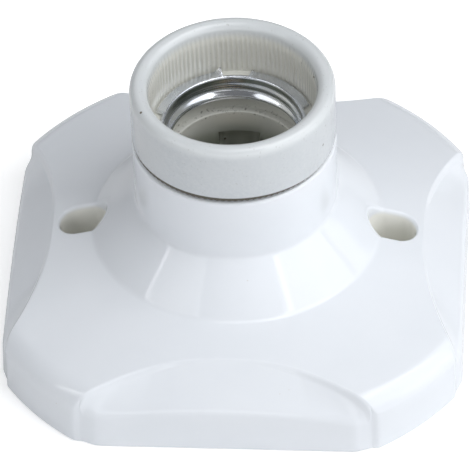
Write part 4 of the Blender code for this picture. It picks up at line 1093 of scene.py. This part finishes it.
def add_camera():
    """Camera at the photograph's angle. The object is turned a little, and the picture leans a little."""
    turn = Matrix.Rotation(OBJECT_TURN, 3, "Z")
    right = turn @ Vector((1.0, 0.0, 0.0))
    up = turn @ Vector((0.0, math.sin(CAMERA_ELEVATION), math.cos(CAMERA_ELEVATION)))
    toward = turn @ Vector((0.0, -math.cos(CAMERA_ELEVATION), math.sin(CAMERA_ELEVATION)))
    camera = add_object("camera", bpy.data.cameras.new("camera"))
    camera.data.sensor_width = SENSOR_WIDTH
    camera.data.lens = PIXELS_PER_METRE * CAMERA_DISTANCE / PICTURE_WIDTH * SENSOR_WIDTH
    place = Matrix((right, up, toward)).transposed() @ Matrix.Rotation(-PICTURE_ROLL, 3, "Z")
    stand = AIM_RIGHT * right + AIM_UP * up + CAMERA_DISTANCE * toward
    camera.matrix_world = Matrix.Translation(stand) @ place.to_4x4()
    bpy.context.scene.camera = camera


def add_softbox(name, azimuth, elevation, distance, width, height, strength):
    """Soft rectangular light aimed at the socket. Azimuth 0 is in front, and it grows to the right."""
    side = math.radians(azimuth) + OBJECT_TURN
    rise = math.radians(elevation)
    away = Vector((math.sin(side) * math.cos(rise), -math.cos(side) * math.cos(rise), math.sin(rise)))
    light = bpy.data.lights.new(name, "AREA")
    light.shape = "RECTANGLE"
    light.size = width
    light.size_y = height
    light.energy = strength * width * height * math.pi
    light.color = LAMP_COLOUR
    lamp = add_object(name, light)
    lamp.location = Vector((0.0, 0.0, LAMP_AIM_HEIGHT)) + away * distance
    lamp.rotation_euler = away.to_track_quat("Z", "Y").to_euler()


def add_floor_and_world():
    """Pale paper under the object, which the camera sees as white, and an even world round it."""
    paper = Finish("white paper floor", {"Base Color": (0.90, 0.90, 0.90, 1.0), "Roughness": 0.9})
    seen = paper.maths("MAXIMUM", paper.add("LightPath", "Is Camera Ray", {}),
                       paper.add("LightPath", "Is Transmission Ray", {}))
    glow = paper.add("Emission", "Emission", {"Strength": paper.product(seen, FLOOR_GLOW)})
    total = paper.add("AddShader", "Shader", {0: paper.shader.outputs["BSDF"], 1: glow})
    paper.connect(paper.nodes["Material Output"], {"Surface": total})
    floor = make_object("floor", block(FLOOR_SIZE, FLOOR_SIZE, -10.0 * MM, -0.05 * MM, 100.0 * MM))
    floor.data.materials.append(paper.material)
    world = bpy.data.worlds.new("studio")
    bpy.context.scene.world = world
    world.use_nodes = True
    background = world.node_tree.nodes["Background"]
    background.inputs["Color"].default_value = (*LAMP_COLOUR, 1.0)
    background.inputs["Strength"].default_value = WORLD_STRENGTH
    bpy.context.scene.view_settings.view_transform = "Standard"


def main():
    make_cover(moulded_plastic())
    make_porcelain(glazed_porcelain())
    make_shell(plated_sheet())
    make_connections(screw_metal("terminal brass", (0.45, 0.30, 0.12), (0.80, 0.62, 0.30), 0.28),
                     screw_metal("plated screw steel", (0.42, 0.42, 0.43), (0.70, 0.71, 0.72), 0.26),
                     screw_metal("spring bronze", (0.36, 0.28, 0.19), (0.66, 0.55, 0.40), 0.30))
    add_camera()
    add_floor_and_world()
    for softbox in SOFTBOXES:
        add_softbox(*softbox)


main()
